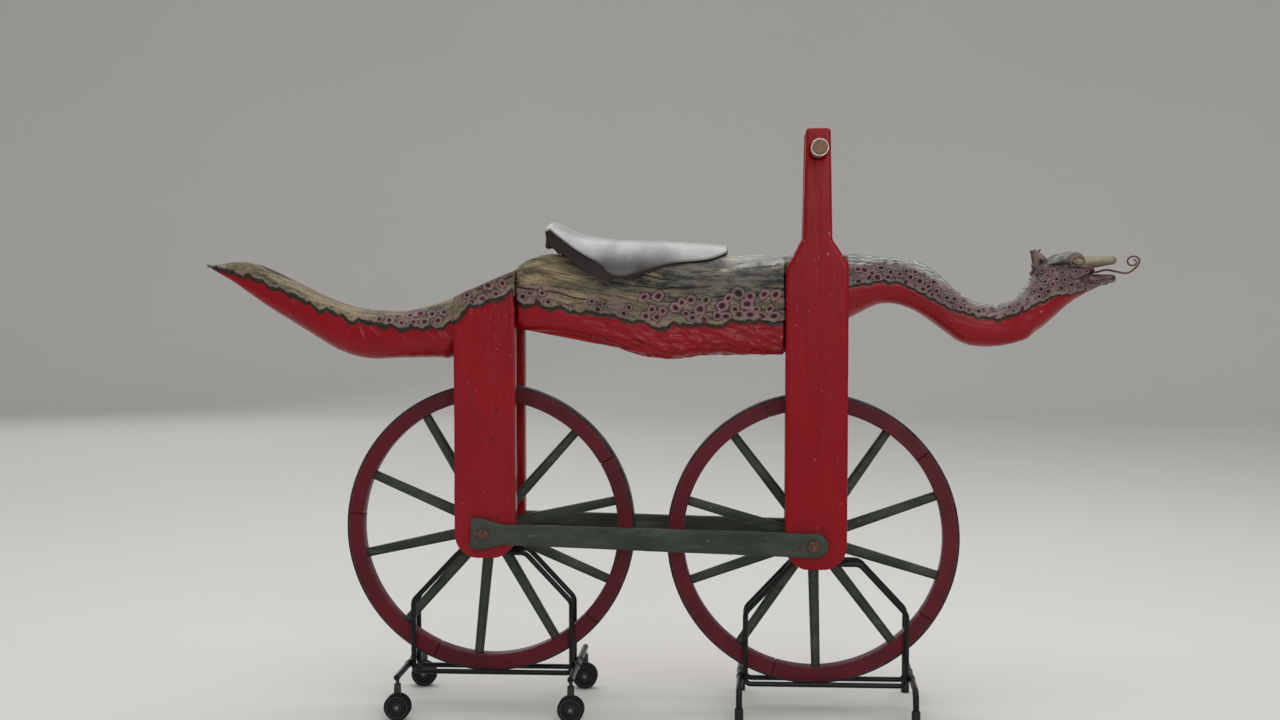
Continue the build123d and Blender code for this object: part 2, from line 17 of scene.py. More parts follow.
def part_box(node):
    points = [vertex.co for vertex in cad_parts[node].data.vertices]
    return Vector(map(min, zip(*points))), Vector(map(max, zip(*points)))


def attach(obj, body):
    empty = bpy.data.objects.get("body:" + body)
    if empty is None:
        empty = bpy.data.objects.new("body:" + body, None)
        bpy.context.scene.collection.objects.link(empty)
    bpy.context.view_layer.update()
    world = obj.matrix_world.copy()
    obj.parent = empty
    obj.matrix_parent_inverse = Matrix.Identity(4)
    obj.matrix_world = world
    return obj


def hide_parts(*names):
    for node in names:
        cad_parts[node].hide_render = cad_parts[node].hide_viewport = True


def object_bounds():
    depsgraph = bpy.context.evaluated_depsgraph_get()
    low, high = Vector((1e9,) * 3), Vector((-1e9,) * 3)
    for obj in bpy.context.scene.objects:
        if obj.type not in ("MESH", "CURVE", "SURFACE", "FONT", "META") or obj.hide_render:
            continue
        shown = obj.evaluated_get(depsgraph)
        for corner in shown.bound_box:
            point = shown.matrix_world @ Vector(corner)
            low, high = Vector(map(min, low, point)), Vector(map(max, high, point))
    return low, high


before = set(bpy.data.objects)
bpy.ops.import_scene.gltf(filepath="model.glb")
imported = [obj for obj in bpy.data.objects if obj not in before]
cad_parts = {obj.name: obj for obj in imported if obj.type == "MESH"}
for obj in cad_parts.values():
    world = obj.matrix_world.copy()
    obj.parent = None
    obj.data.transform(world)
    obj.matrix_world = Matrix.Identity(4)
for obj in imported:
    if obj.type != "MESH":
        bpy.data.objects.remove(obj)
CAD_BOX = [list(corner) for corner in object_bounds()]
MM = 0.001
print("solids:", len(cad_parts), "box in metres:", CAD_BOX)

# %% [markdown]
# ## Places along the machine
# Everything is placed from the frame, so nothing has to be fitted by eye. Lengths are counted
# ahead of the rear axle, as a wheelwright would, and heights are counted above the belly line,
# which is where the lowest part of the trunk lies.

# %% Axles and belly
def middle(node):
    """Middle of a solid's box."""
    low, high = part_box(node)
    return (Vector(low) + Vector(high)) / 2


BELLY_ABOVE_AXLE = 282
REAR_AXLE = middle("rear_axle")
FRONT_AXLE = middle("front_axle")
ZERO = np.array([REAR_AXLE.x / MM, 0, REAR_AXLE.z / MM + BELLY_ABOVE_AXLE])
SIDES = (("left", 1), ("right", -1))


def spot(ahead, across, rise):
    """Place in metres from millimetres ahead of the rear axle, to the left and above the belly."""
    return Vector((ahead + ZERO[0], across + ZERO[1], rise + ZERO[2])) * MM


print("axles at", tuple(REAR_AXLE), tuple(FRONT_AXLE))

# %% [markdown]
# ## The camera
# The picture was taken from the machine's right side, a little above the saddle and turned a few
# degrees. A long lens flattens it, so the wheels stay round. The lens is worked out from the
# focal length in pixels of a picture 1280 pixels wide.

# %% Camera
PICTURE_WIDTH = 1280
FOCAL_PIXELS = 1971.7
CAMERA_AHEAD, CAMERA_OUT, CAMERA_RISE = 458.4, -3245, 188
CAMERA_DIP, CAMERA_TURN = 3.36, 3.70
lens = bpy.data.cameras.new("camera")
lens.sensor_width = 36
lens.lens = FOCAL_PIXELS / PICTURE_WIDTH * lens.sensor_width
camera = bpy.data.objects.new("camera", lens)
bpy.context.collection.objects.link(camera)
camera.location = spot(CAMERA_AHEAD, CAMERA_OUT, CAMERA_RISE)
camera.rotation_euler = (math.radians(90 - CAMERA_DIP), 0, math.radians(CAMERA_TURN))
bpy.context.scene.camera = camera
print("camera at", tuple(camera.location), "lens", round(lens.lens, 2), "mm")

# %% [markdown]
# ## Light
# The paint has to show the colours that are written for it, so the light stays plain: an even
# pale world, one big soft lamp overhead that puts a sheen on the back and the saddle, a wide one
# from the camera's side and a weak one from behind. The view transform is Standard, which adds no
# look of its own.

# %% World and lamps
scene = bpy.context.scene
scene.view_settings.view_transform = "Standard"
scene.world = bpy.data.worlds.new("even light")
scene.world.use_nodes = True
SKY_COLOUR, SKY_STRENGTH = (0.97, 0.98, 1, 1), 0.42
sky = scene.world.node_tree.nodes["Background"]
sky.inputs["Color"].default_value = SKY_COLOUR
sky.inputs["Strength"].default_value = SKY_STRENGTH


def soft_lamp(name, place, target, size, watts):
    """Square lamp that shines from a place to a target."""
    data = bpy.data.lights.new(name, "AREA")
    data.size = size
    data.energy = watts
    lamp = bpy.data.objects.new(name, data)
    bpy.context.collection.objects.link(lamp)
    lamp.location = place
    lamp.rotation_euler = (Vector(target) - Vector(place)).to_track_quat("-Z", "Y").to_euler()


HEART = (0, 0, 0.5)
soft_lamp("overhead", (0.1, 0.3, 3.4), HEART, 4.0, 82)
soft_lamp("front_fill", (1.4, -5.6, 2.5), HEART, 3.6, 96)
soft_lamp("back_fill", (-2.4, 4.8, 2.5), HEART, 3.2, 30)
print("lamps:", [light.name for light in bpy.data.lights])

# %% [markdown]
# ## Shader sums
# A finish is mostly arithmetic on masks. Drawn as nodes that arithmetic is hard to read, so one
# small class holds a socket and turns + - * / into Math nodes. A second class holds a material.
# Its `node` method makes any other node from its type, its settings and its inputs, and `blend`
# mixes colours with a Mix node, because a Math node would turn them grey. Most paints are two
# shades in clouds with a few coats over them, which is what `shades` and `layers` are for.
# Colours are written as the three values of 0 to 255 that a screen shows.

# %% Sockets as values
class Wire:
    """An output socket, so that masks can be written as sums."""

    def __init__(self, finish, socket):
        self.finish = finish
        self.socket = socket

    def sum(self, operation, first, second):
        return self.finish.node("Math", {"operation": operation}, {0: first, 1: second})

    def __add__(self, other):
        return self.sum("ADD", self, other)

    def __mul__(self, other):
        return self.sum("MULTIPLY", self, other)

    def __sub__(self, other):
        return self.sum("SUBTRACT", self, other)

    def __rsub__(self, other):
        return self.sum("SUBTRACT", other, self)

    __radd__ = __add__
    __rmul__ = __mul__

    def most(self, other):
        return self.sum("MAXIMUM", self, other)

    def rise(self, low, high):
        """0 up to low, 1 from high, and a smooth slope between."""
        settings = {"interpolation_type": "SMOOTHSTEP"}
        return self.finish.node("MapRange", settings, {0: self, 1: low, 2: high})

    def band(self, low, high, soft):
        """1 from low to high and 0 outside, with soft ends."""
        return self.rise(low - soft, low) * (1 - self.rise(high, high + soft))


# %% A material and its nodes
# a Mix node has such sockets for each type of data, and these are the ones for colours
COLOUR_A, COLOUR_B, COLOUR_OUT = 6, 7, 2


def tint(red, green, blue):
    """Linear colour of a colour that a screen shows with these values of 0 to 255."""
    return tuple(((c / 255 + 0.055) / 1.055) ** 2.4 for c in (red, green, blue)) + (1.0,)


class Finish:
    """A material. Its noises are looked up along the grain when the mesh carries one."""

    def __init__(self, name, grain=False, **plain):
        self.material = bpy.data.materials.new(name)
        self.material.use_nodes = True
        self.tree = self.material.node_tree
        self.shader = self.tree.nodes["Principled BSDF"]
        self.grain = grain
        for socket, value in plain.items():
            self.shader.inputs[socket.replace("_", " ")].default_value = value

    def feed(self, socket, value):
        if isinstance(value, Wire):
            self.tree.links.new(value.socket, socket)
        else:
            socket.default_value = value

    def node(self, kind, settings=None, inputs=None, output=0):
        """Add a node of this type, with its settings made before its inputs."""
        made = self.tree.nodes.new("ShaderNode" + kind)
        for name, value in (settings or {}).items():
            setattr(made, name, value)
        for name, value in (inputs or {}).items():
            self.feed(made.inputs[name], value)
        return Wire(self, made.outputs[output])

    def place(self, stretch):
        """Place on the piece in metres, squeezed by stretch."""
        if self.grain:
            here = self.node("Attribute", {"attribute_name": "grain"}, output="Vector")
        else:
            here = self.node("TexCoord", output="Object")
        return self.node("VectorMath", {"operation": "MULTIPLY"}, {0: here, 1: stretch})

    def noise(self, size_mm, stretch=(1, 1, 1), detail=3, rough=0.55, warp=0.0):
        """Cloudy value near 0.5 whose spots are about size_mm across."""
        inputs = {"Vector": self.place(stretch), "Scale": 1000 / size_mm, "Detail": detail}
        inputs |= {"Roughness": rough, "Distortion": warp}
        return self.node("TexNoise", {"normalize": True}, inputs)

    def chips(self, size_mm, stretch=(1, 1, 1)):
        """Distance to the nearest of scattered points, 0 at the point."""
        inputs = {"Vector": self.place(stretch), "Scale": 1000 / size_mm}
        return self.node("TexVoronoi", {}, inputs, "Distance")

    def mark(self, name):
        """A value that the mesh carries on its points."""
        return self.node("Attribute", {"attribute_name": name}, output="Fac")

    def blend(self, share, first, second):
        """Colour that is first where share is 0 and second where it is 1."""
        made = self.tree.nodes.new("ShaderNodeMix")
        made.data_type = "RGBA"
        self.feed(made.inputs["Factor"], share)
        for socket, colour in ((COLOUR_A, first), (COLOUR_B, second)):
            self.feed(made.inputs[socket], colour if isinstance(colour, Wire) else tint(*colour))
        return Wire(self, made.outputs[COLOUR_OUT])

    def shades(self, cloud, first, second, low=0.35, high=0.65):
        """Two colours in clouds: the first up to low, the second from high."""
        return self.blend(cloud.rise(low, high), first, second)

    def layers(self, colour, *coats):
        """Colour under coats, each a share and the colour that it lays on there."""
        for share, coat in coats:
            colour = self.blend(share, colour, coat)
        return colour

    def wear(self, colour, roughness):
        self.feed(self.shader.inputs["Base Color"], colour)
        self.feed(self.shader.inputs["Roughness"], roughness)

    def bump(self, height, depth_mm):
        inputs = {"Height": height, "Strength": 1, "Distance": depth_mm * MM}
        self.feed(self.shader.inputs["Normal"], self.node("Bump", {}, inputs))


print("shader kit ready")

# %% [markdown]
# ## Random wood
# Carved wood is uneven in a way that has a size and a direction. A value noise in NumPy gives
# that to every point of a mesh at once: random numbers sit on a lattice whose cells may be long
# in one direction, and the points read them smoothly. The numbers come from the cell's own
# place, so each run gives the same wood.

# %% Noise on points
# large numbers that scatter the cells' places, and a shift and a factor for each round of mixing
SCATTER_X, SCATTER_Y, SCATTER_Z, SCATTER_SEED = 73856093, 19349663, 83492791, 40503
MIXING = ((15, 2246822519), (13, 3266489917))
WORD = 0xFFFFFFFF


def cloudy(points, size, seed):
    """Smooth value from -1 to 1 at each point, with lattice cells of this size in millimetres."""
    place = points / np.asarray(size, float)
    cell = np.floor(place).astype(np.int64)
    part = place - cell
    part = part * part * (3 - 2 * part)
    total = np.zeros(len(points))
    for corner in np.ndindex(2, 2, 2):
        x, y, z = (cell + corner).T
        number = (x * SCATTER_X ^ y * SCATTER_Y ^ z * SCATTER_Z ^ seed * SCATTER_SEED) & WORD
        for shift, factor in MIXING:
            number = (number ^ number >> shift) * factor & WORD
        share = np.where(corner, part, 1 - part).prod(axis=1)
        total += share * ((number ^ number >> 16) & 0xFFFF) / 0xFFFF
    return 2 * total - 1


def slope(values, low, high):
    """0 up to low, 1 from high, and a smooth slope between."""
    share = np.clip((values - low) / (high - low), 0, 1)
    return share * share * (3 - 2 * share)


def hump(values, centre, width):
    """1 at the centre, fading to 0 on both sides."""
    return np.exp(-(((values - centre) / width) ** 2))


def plateau(values, foot, top, edge, end):
    """0 up to foot, 1 from top to edge and 0 again from end."""
    return slope(values, foot, top) * (1 - slope(values, edge, end))


def look_up(table, ahead):
    """Value at a place, between the rows of a table of places ahead and values."""
    return np.interp(ahead, *np.transpose(table))


print("noise check:", cloudy(np.array([[1.0, 2.0, 3.0]]), 10, 1).round(3))

# %% [markdown]
# ## The edge of the dragon's skin
# The back is painted as a skin with sucker-like rings, and the belly is plain red. Between them
# runs a scalloped edge, cut a little deeper than the skin. One line from the tail to the mouth
# gives its height, and a row of hanging lobes is added to it by a formula. They are long and
# uneven on the trunk and as small as the rings on the neck.

# %% Skin line
# ahead of the rear axle, rise above the belly
SKIN_LINE = (
    (-477, 152), (-407, 141), (-352, 118), (-294, 92), (-237, 72), (-169, 57), (-93, 55),
    (-52, 64), (-28, 87), (0, 95), (24, 105), (48, 116), (52, 98), (90, 94), (122, 88),
    (155, 81), (190, 78), (240, 68), (290, 62), (350, 62), (384, 66), (437, 67), (488, 65),
    (520, 66), (588, 121), (646, 131), (673, 127),
    (712, 108), (759, 83), (813, 70), (840, 70), (867, 82), (891, 94), (918, 106), (945, 110),
    (975, 116), (1030, 130),
)
# ahead of the rear axle, pitch and depth of the lobes, pitch and radius of the rings
LOBES = (
    (-480, 26, 4, 30, 2.6), (-380, 27, 6, 30, 3), (-300, 27, 7, 24, 4), (-200, 28, 7, 20, 6),
    (-120, 32, 8, 20, 7.4), (0, 34, 8, 19, 7.2), (50, 38, 7, 22, 5.6), (160, 42, 8, 20, 6),
    (250, 50, 9, 19, 7), (350, 46, 9, 19, 8.3), (480, 44, 9, 19, 8.7), (560, 24, 5, 16, 5),
    (600, 17, 3.5, 15, 6.5), (700, 16, 3.5, 15, 6), (860, 15, 3, 14, 5.2), (1024, 14, 3.5, 13, 4.2),
)
LINE_AHEAD, LINE_RISE = np.array(SKIN_LINE, float).T
LOBE_AHEAD, LOBE_PITCH, LOBE_DEPTH, RING_PITCH, RING_RADIUS = np.array(LOBES, float).T
STEPS = np.arange(LOBE_AHEAD[0], LOBE_AHEAD[-1] + 40, 1.0)
LOBE_COUNT = np.cumsum(1 / np.interp(STEPS, LOBE_AHEAD, LOBE_PITCH))
RING_COUNT = np.cumsum(1 / np.interp(STEPS, LOBE_AHEAD, RING_PITCH))


def skin_base(ahead):
    """Height of the skin's edge without its lobes."""
    return np.interp(ahead, LINE_AHEAD, LINE_RISE)


def skin_edge(ahead, side):
    """Height of the skin's edge with its lobes, which are out of step on the two sides."""
    phase = np.interp(ahead, STEPS, LOBE_COUNT) + 0.37 * (np.asarray(side) > 0)
    number = np.floor(phase)
    uneven = 0.8 + 0.4 * np.sin(number * 2.4 + 1.3 * np.sin(number * 5.1) + 2 * side)
    lobe = uneven * np.abs(np.sin(math.pi * phase)) ** 0.8 + 0.2 * np.abs(np.sin(8.3 * phase + side))
    return skin_base(ahead) + np.interp(ahead, LOBE_AHEAD, LOBE_DEPTH) * (0.3 - lobe)


print("lobes on each side:", int(LOBE_COUNT[-1]), "rings in a row:", int(RING_COUNT[-1]))

# %% [markdown]
# ## Dense wood to carve
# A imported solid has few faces, which is right for a frame but leaves nothing to carve. The voxel
# remesh turns it into a skin of small even squares. Extra lumps may be joined to it first, and
# the remesh melts them into one body. A little smoothing takes away the steps that voxels leave.

# %% Dense copies
def apply_modifiers(piece):
    """Make the mesh of a piece what its modifiers show."""
    graph = bpy.context.evaluated_depsgraph_get()
    final = bpy.data.meshes.new_from_object(piece.evaluated_get(graph))
    piece.modifiers.clear()
    piece.data = final


def new_piece(name, form):
    """Object made from a bmesh."""
    mesh = bpy.data.meshes.new(name)
    form.to_mesh(mesh)
    form.free()
    piece = bpy.data.objects.new(name, mesh)
    bpy.context.collection.objects.link(piece)
    return piece


def solid_form(*nodes):
    """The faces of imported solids, with their split corners joined again."""
    form = bmesh.new()
    for node in nodes:
        form.from_mesh(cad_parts[node].data)
    bmesh.ops.remove_doubles(form, verts=form.verts, dist=1e-6)
    return form


def dense_wood(name, form, voxel, rounds):
    """Melt a form into small even squares and smooth them."""
    piece = new_piece(name, form)
    melt = piece.modifiers.new("melt", "REMESH")
    melt.mode = "VOXEL"
    melt.voxel_size = voxel * MM
    ease = piece.modifiers.new("ease", "SMOOTH")
    ease.factor = 0.5
    ease.iterations = rounds
    apply_modifiers(piece)
    print(name, "has", len(piece.data.polygons), "faces")
    return piece


def reach_into(form, x, depth):
    """Push the end of a form past its joint, so that the next piece overlaps it."""
    for vertex in form.verts:
        if abs(vertex.co.x - x) < MM / 10:
            vertex.co.x += depth * MM


# %% [markdown]
# ## Reading and moving the points
# Carving means moving each point along its normal. The points are read as one array in
# millimetres from the zero above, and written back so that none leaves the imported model's box,
# because the looks may not change the machine's size.

# %% Points in and out
class Wood:
    """The points of a dense piece while it is carved."""

    def __init__(self, piece):
        self.piece = piece
        mesh = piece.data
        count = len(mesh.vertices)
        flat = np.empty(count * 3, np.float32)
        mesh.vertices.foreach_get("co", flat)
        self.points = flat.reshape(-1, 3) / MM - ZERO
        mesh.vertex_normals.foreach_get("vector", flat)
        self.normals = flat.reshape(-1, 3).astype(float)
        self.side = np.where(self.points[:, 1] > 0, 1, -1)
        self.ahead = self.points[:, 0]
        self.height = np.zeros(count)
        self.measure_skin()

    def measure_skin(self):
        """Millimetres from each point down to the edge of the skin, and its place on the grain."""
        base = skin_base(self.ahead)
        tilt = (skin_base(self.ahead + 8) - skin_base(self.ahead - 8)) / 16
        tilt = np.clip(tilt, -1, 1)
        lean = 1 / np.sqrt(1 + tilt**2)
        self.above = (self.points[:, 2] - skin_edge(self.ahead, self.side)) * lean
        self.flow = np.column_stack((self.ahead, self.points[:, 1], self.points[:, 2] - base))

    def raise_by(self, amount):
        self.height += amount

    def finish(self, **marks):
        """Move the points, keep them in the machine's box and store the marks on them."""
        moved = (self.points + self.normals * self.height[:, None] + ZERO) * MM
        self.piece.data.vertices.foreach_set("co", np.clip(moved, *CAD_BOX).ravel())
        flow = self.piece.data.attributes.new("grain", "FLOAT_VECTOR", "POINT")
        flow.data.foreach_set("vector", (self.flow * MM).astype(np.float32).ravel())
        for name, values in marks.items():
            mark = self.piece.data.attributes.new(name, "FLOAT", "POINT")
            mark.data.foreach_set("value", values.astype(np.float32))
        self.piece.data.shade_smooth()
        self.piece.data.update()


print("carving kit ready")

# %% [markdown]
# ## Rings
# The rings stand in rows above the skin's edge, each row out of step with the next. A ring is an
# uneven oval with a raised rim and a sunken middle. Its centre is found by looking from the side
# onto the dense wood, which also gives the slope that it lies on. No two are alike: each has its
# own size, turn and flatness, and a fine noise bends its outline.

# %% Ring centres
RNG = np.random.default_rng(1868)
# where a look from the side starts, and how squarely the wood has to face it
LOOK_FROM, LEAST_FACING = 300, 0.2
# reach of a point far from every ring, and how many radii from a ring are measured
NO_RING, RING_REACH = 9.0, 2.2


def ring_at(tree, ahead, side, rise, radius):
    """One ring where a level line from the side meets the wood, or None where the wood turns away."""
    squash, turn, tone = RNG.uniform(0.62, 0.98), RNG.uniform(-0.9, 0.9), RNG.random()
    hit, normal, _, _ = tree.ray_cast(spot(ahead, side * LOOK_FROM, rise), Vector((0, -side, 0)))
    if hit is None or abs(normal.y) < LEAST_FACING:
        return None
    return np.array(hit) / MM - ZERO, np.array(normal), radius, squash, turn, tone


def ring_rows(wood, rows, start, end, share=1.0):
    """Rings in rows between two places along the machine. Higher rows have more gaps."""
    tree = BVHTree.FromObject(wood.piece, bpy.context.evaluated_depsgraph_get())
    first, last = np.interp((start, end), STEPS, RING_COUNT)
    rings = []
    for side in (1, -1):
        for row in range(rows):
            for number in np.arange(np.ceil(first), last - 0.5):
                count = number + 0.5 * (row % 2) + 0.3 * (side > 0) + RNG.uniform(-0.15, 0.15)
                ahead = np.interp(count, RING_COUNT, STEPS)
                radius = np.interp(ahead, LOBE_AHEAD, RING_RADIUS) * RNG.uniform(0.7, 1.12)
                rise = skin_base(ahead) + radius * (0.85 + 2.0 * row) + RNG.uniform(-2, 2)
                ring = ring_at(tree, ahead, side, rise, radius)
                if ring and RNG.random() < share ** (1 + row):
                    rings.append(ring)
    return rings


def measure_rings(wood, rings):
    """How far each point is from its nearest ring's middle, as a share of the ring's radius."""
    nearest = np.full(len(wood.points), NO_RING)
    tones = np.zeros(len(wood.points))
    bend = 1 + 0.2 * cloudy(wood.points, 6, 22) + 0.14 * cloudy(wood.points, 3, 23)
    for centre, normal, radius, squash, turn, tone in rings:
        away = wood.points - centre
        close = np.flatnonzero(np.abs(away).max(axis=1) < RING_REACH * radius)
        along = np.cross(normal, (0, 0, 1))
        along /= np.linalg.norm(along)
        up = np.cross(along, normal)
        lengthwise, upward = away[close] @ along, away[close] @ up
        long = lengthwise * math.cos(turn) + upward * math.sin(turn)
        short = (upward * math.cos(turn) - lengthwise * math.sin(turn)) / squash
        reach = np.hypot(long, short) / radius * bend[close]
        closer = reach < nearest[close]
        nearest[close[closer]] = reach[closer]
        tones[close[closer]] = tone
    return nearest, tones


print("ring kit ready")

# %% [markdown]
# ## Cutting the skin
# The same cuts are made on the tail, the trunk, the rear boards and the neck, so one function
# makes them. The belly is cut back below the skin, a groove is run under the lobes, and each ring
# gets its rim and its pit. Fibres follow the grain, and five long cracks run with them.

# %% Cuts
BELLY_CUT = 2.2
CRACK_RISES = (18, 35, 52, 70, 88)


def long_cracks(wood):
    """1 in the cracks, which wander along the grain and come and go."""
    total = np.zeros(len(wood.points))
    for number, rise in enumerate(CRACK_RISES):
        path = np.column_stack((wood.ahead, np.full(len(total), 40.0 * number), wood.side * 9.0))
        wander = rise + 6 * cloudy(path, (130, 9, 9), 13) + 1.5 * cloudy(path, (24, 9, 9), 14)
        open_part = slope(cloudy(path, (70, 9, 9), 18), -0.2, 0.25)
        total = np.maximum(total, hump(wood.flow[:, 2], wander, 1.25) * open_part)
    return total


def cut_wood(wood, rings, fibre_depth, crack_depth):
    """Carve the skin of a piece. Depths are in millimetres, as numbers or one for each point."""
    nearest, tones = measure_rings(wood, rings)
    on_skin = slope(wood.above, -0.7, 0.9)
    wood.raise_by(-BELLY_CUT * (1 - on_skin) - 0.9 * hump(wood.above, -2.4, 1.5))
    wood.raise_by(0.6 * hump(wood.above, 2.5, 2) - 0.5 * hump(wood.above, 6.5, 1.3) * on_skin)
    rim, pit = hump(nearest, 0.92, 0.26), 1 - slope(nearest, 0.35, 0.75)
    wood.raise_by(on_skin * (0.9 * rim - 1.9 * pit))
    free = on_skin * slope(nearest, 1.0, 1.5)
    fibres = cloudy(wood.flow, (60, 3.4, 3.2), 11) + 0.6 * cloudy(wood.flow, (25, 2.4, 2.2), 12)
    cracks = long_cracks(wood) * free
    wood.raise_by(free * fibre_depth * fibres - crack_depth * cracks)
    wood.raise_by((1 - on_skin) * 0.2 * cloudy(wood.flow, (45, 4, 4), 17))
    return {"above": wood.above, "ring": nearest, "tone": tones, "crack": cracks}


# %% [markdown]
# The red parts were shaped with a gouge. Each stroke is a long shallow hollow at a slant, and
# where two strokes meet they leave a sharp ridge. A stroke starts at one of the mesh's own points,
# so it always lies on the wood.

# %% Gouge strokes
# how much a stroke's length and width differ from the rule, as factors, and its slant in radians
UNEVEN, UNEVEN_SLANT = (0.7, 1.3), 0.35


def gouge(wood, where, count, length, width, slant, depth):
    """Cut strokes at random points of a region. Returns how deep each point was cut, 0 to 1."""
    cut = np.zeros(len(wood.points))
    for start in RNG.choice(np.flatnonzero(where), count):
        normal, lean = wood.normals[start], slant + RNG.uniform(-UNEVEN_SLANT, UNEVEN_SLANT)
        away = wood.points - wood.points[start]
        close = np.flatnonzero(np.abs(away).max(axis=1) < UNEVEN[1] * length)
        along = np.array((math.cos(lean), 0, -math.sin(lean)))
        along -= normal * (normal @ along)
        along /= np.linalg.norm(along)
        up = np.cross(normal, along)
        far = away[close] @ along / (length * RNG.uniform(*UNEVEN))
        off = away[close] @ up / (width * RNG.uniform(*UNEVEN))
        hollow = RNG.uniform(0.5, 1) * (1 - far**2 - off**2)
        cut[close] = np.maximum(cut[close], hollow)
    cut *= 1 - slope(wood.above, -6, -3)
    wood.raise_by(-depth * cut)
    return cut


print("cutting kit ready")

# %% [markdown]
# ## The skin's paint
# One finish covers everything that is carved, because skin and belly meet on the same wood. The
# marks that the carving left on the points say where each colour goes. Red lies below the edge
# with a near-black outline along it, which is wide and uneven so that it is also painted shadow
# under the hanging lobes, and just above the edge lies a pale band that is partly paint and partly
# a painted highlight on the raised rim. The rings have mauve rims with a painted highlight on
# their crests, maroon middles and thin mauve lines that wander from one to the next. The head's
# hollows, mouth and creases are darkened with painted shade. A mark that a piece doesn't carry
# reads as 0, so the trunk simply has no beak and no mane.

# %% Red
RED, DEEP_RED, PINK_SCRATCH = (141, 6, 20), (104, 4, 14), (176, 92, 96)
# near-black of the drawn outlines; along the skin's edge it also stands for painted shadow under the lobes
OUTLINE = (34, 36, 30)


def red_coat(finish):
    """Colour and roughness of the glossy red on belly and boards."""
    clouds = finish.noise(70, (0.4, 1, 1)).rise(0.33, 0.72)
    streaks = finish.noise(7, (0.07, 1, 1), detail=4).rise(0.5, 0.73)
    scratches = finish.noise(2.3, (0.065, 1, 1), detail=2).rise(0.69, 0.735)
    patches = finish.noise(95).rise(0.45, 0.6)
    chips = finish.noise(5, detail=3).rise(0.685, 0.715) * finish.noise(70).rise(0.5, 0.6)
    red = finish.layers(
        RED,
        (clouds * 0.32 + streaks * 0.3, DEEP_RED),
        (scratches * patches * 0.6, PINK_SCRATCH),
        (finish.mark("ridge") * streaks * 0.25, PINK_SCRATCH),
        (finish.mark("stroke") * 0.5, PINK_SCRATCH),
        (chips * 0.8, (196, 150, 140)),
        (finish.mark("dent") * 0.85, (84, 10, 18)),
    )
    return red, 0.26 + streaks * 0.2 + scratches * 0.2 + chips * 0.3


# %% Ground of the skin
def skin_ground(finish, above, ahead, fine):
    """Worn ochre behind the saddle, green-black under it that also stands for the saddle's painted shadow,
    grey-green ahead, mauve on the neck, and a painted highlight along the top ahead of the saddle.
    """
    here = ahead + (finish.noise(40, (0.6, 1, 1), detail=4) - 0.5) * 150
    streaks = finish.noise(9, (0.09, 1, 1), detail=5, rough=0.65)
    blotches = finish.noise(18, (0.35, 1, 1), detail=6, rough=0.7)
    specks = finish.noise(8, (0.5, 1, 1), detail=3)
    mossy = ahead.rise(-210, -100) * (1 - blotches.rise(0.46, 0.58))
    tail = finish.layers(
        finish.shades(blotches, (70, 67, 54), (124, 117, 96), 0.36, 0.56),
        (specks.rise(0.58, 0.68) * 0.6, (48, 50, 42)),
        (mossy * 0.75, (50, 58, 50)),
    )
    ochre = finish.layers(
        finish.shades(streaks, (88, 79, 61), (150, 132, 103), 0.38, 0.62),
        ((1 - blotches.rise(0.4, 0.5)) * 0.55, (56, 54, 44)),
        (specks.rise(0.56, 0.68) * 0.5, (84, 90, 68)),
    )
    # green-black paint under the saddle, which also stands for the saddle's painted shadow on the trunk
    dark = finish.layers(
        finish.shades(blotches, (38, 43, 39), (116, 109, 92), 0.4, 0.62),
        (specks.rise(0.58, 0.66) * 0.6, (52, 74, 66)),
    )
    green = finish.shades(blotches, (44, 49, 45), (106, 102, 92), 0.4, 0.6)
    mauve = finish.shades(streaks, (80, 70, 70), (130, 116, 112), 0.38, 0.62)
    patches = finish.noise(30, (0.4, 1, 1), detail=6, rough=0.65)
    low = 1 - (above + (patches - 0.5) * 150).rise(24, 44)
    worn = (low * 0.85).most(here.rise(200, 300) * patches.rise(0.54, 0.59))
    # a painted highlight: a pale streaked strip along the top edge ahead of the saddle
    shine = above.rise(84, 100) * here.rise(350, 420) * (streaks * 0.6 + fine * 0.4).rise(0.42, 0.52)
    return finish.layers(
        tail,
        (here.rise(-60, -40), ochre),
        (here.rise(140, 205), dark),
        (here.rise(270, 320), green),
        (worn * (1 - here.rise(540, 570)), ochre),
        (here.rise(560, 600), mauve),
        (fine.rise(0.58, 0.68) * 0.5, (142, 128, 106)),
        ((1 - fine.rise(0.37, 0.45)) * 0.7, (38, 36, 30)),
        (shine * 0.7, (196, 197, 191)),
    )


# %% Rings, mane and edge
def paint_rings(finish, ground, above, ahead, fine):
    ring, tone = finish.mark("ring"), finish.mark("tone")
    lines = finish.noise(17, (0.5, 1, 1), detail=2).band(0.475, 0.525, 0.018)
    lines = lines * ahead.rise(-190, -110)
    rims = finish.shades(tone, (128, 94, 99), (110, 90, 87), 0.2, 0.9)
    middles = finish.shades(tone, (62, 24, 32), (34, 27, 26), 0.55, 0.8)
    rubbed = 1 - finish.noise(9, detail=4).rise(0.5, 0.62) * 0.55
    around = ring.band(1.22, 1.42, 0.12) * above.rise(2, 6)
    return finish.layers(
        ground,
        (lines * above.band(3, 28, 6) * 0.8, (126, 100, 98)),
        (around * 0.75, OUTLINE),
        (ring.band(0.62, 1.12, 0.12) * rubbed, rims),
        # a painted highlight on the crest of each ring's raised rim
        (ring.band(0.86, 1.0, 0.08) * fine.rise(0.45, 0.6) * 0.4, (158, 130, 128)),
        (1 - ring.rise(0.5, 0.66), middles),
    )


def paint_mane(finish, ground):
    strands = finish.noise(4, (0.05, 1, 1), detail=4)
    locks = finish.layers(
        finish.shades(finish.noise(50, (0.4, 1, 1)), (146, 148, 142), (112, 114, 100), 0.42, 0.6),
        (strands.rise(0.54, 0.62) * 0.8, (190, 192, 184)),
        ((1 - strands.rise(0.36, 0.46)) * 0.5, (84, 86, 78)),
        (finish.mark("gap").rise(0.45, 0.9) * 0.75, (70, 72, 64)),
    )
    return finish.blend(finish.mark("mane"), ground, locks)


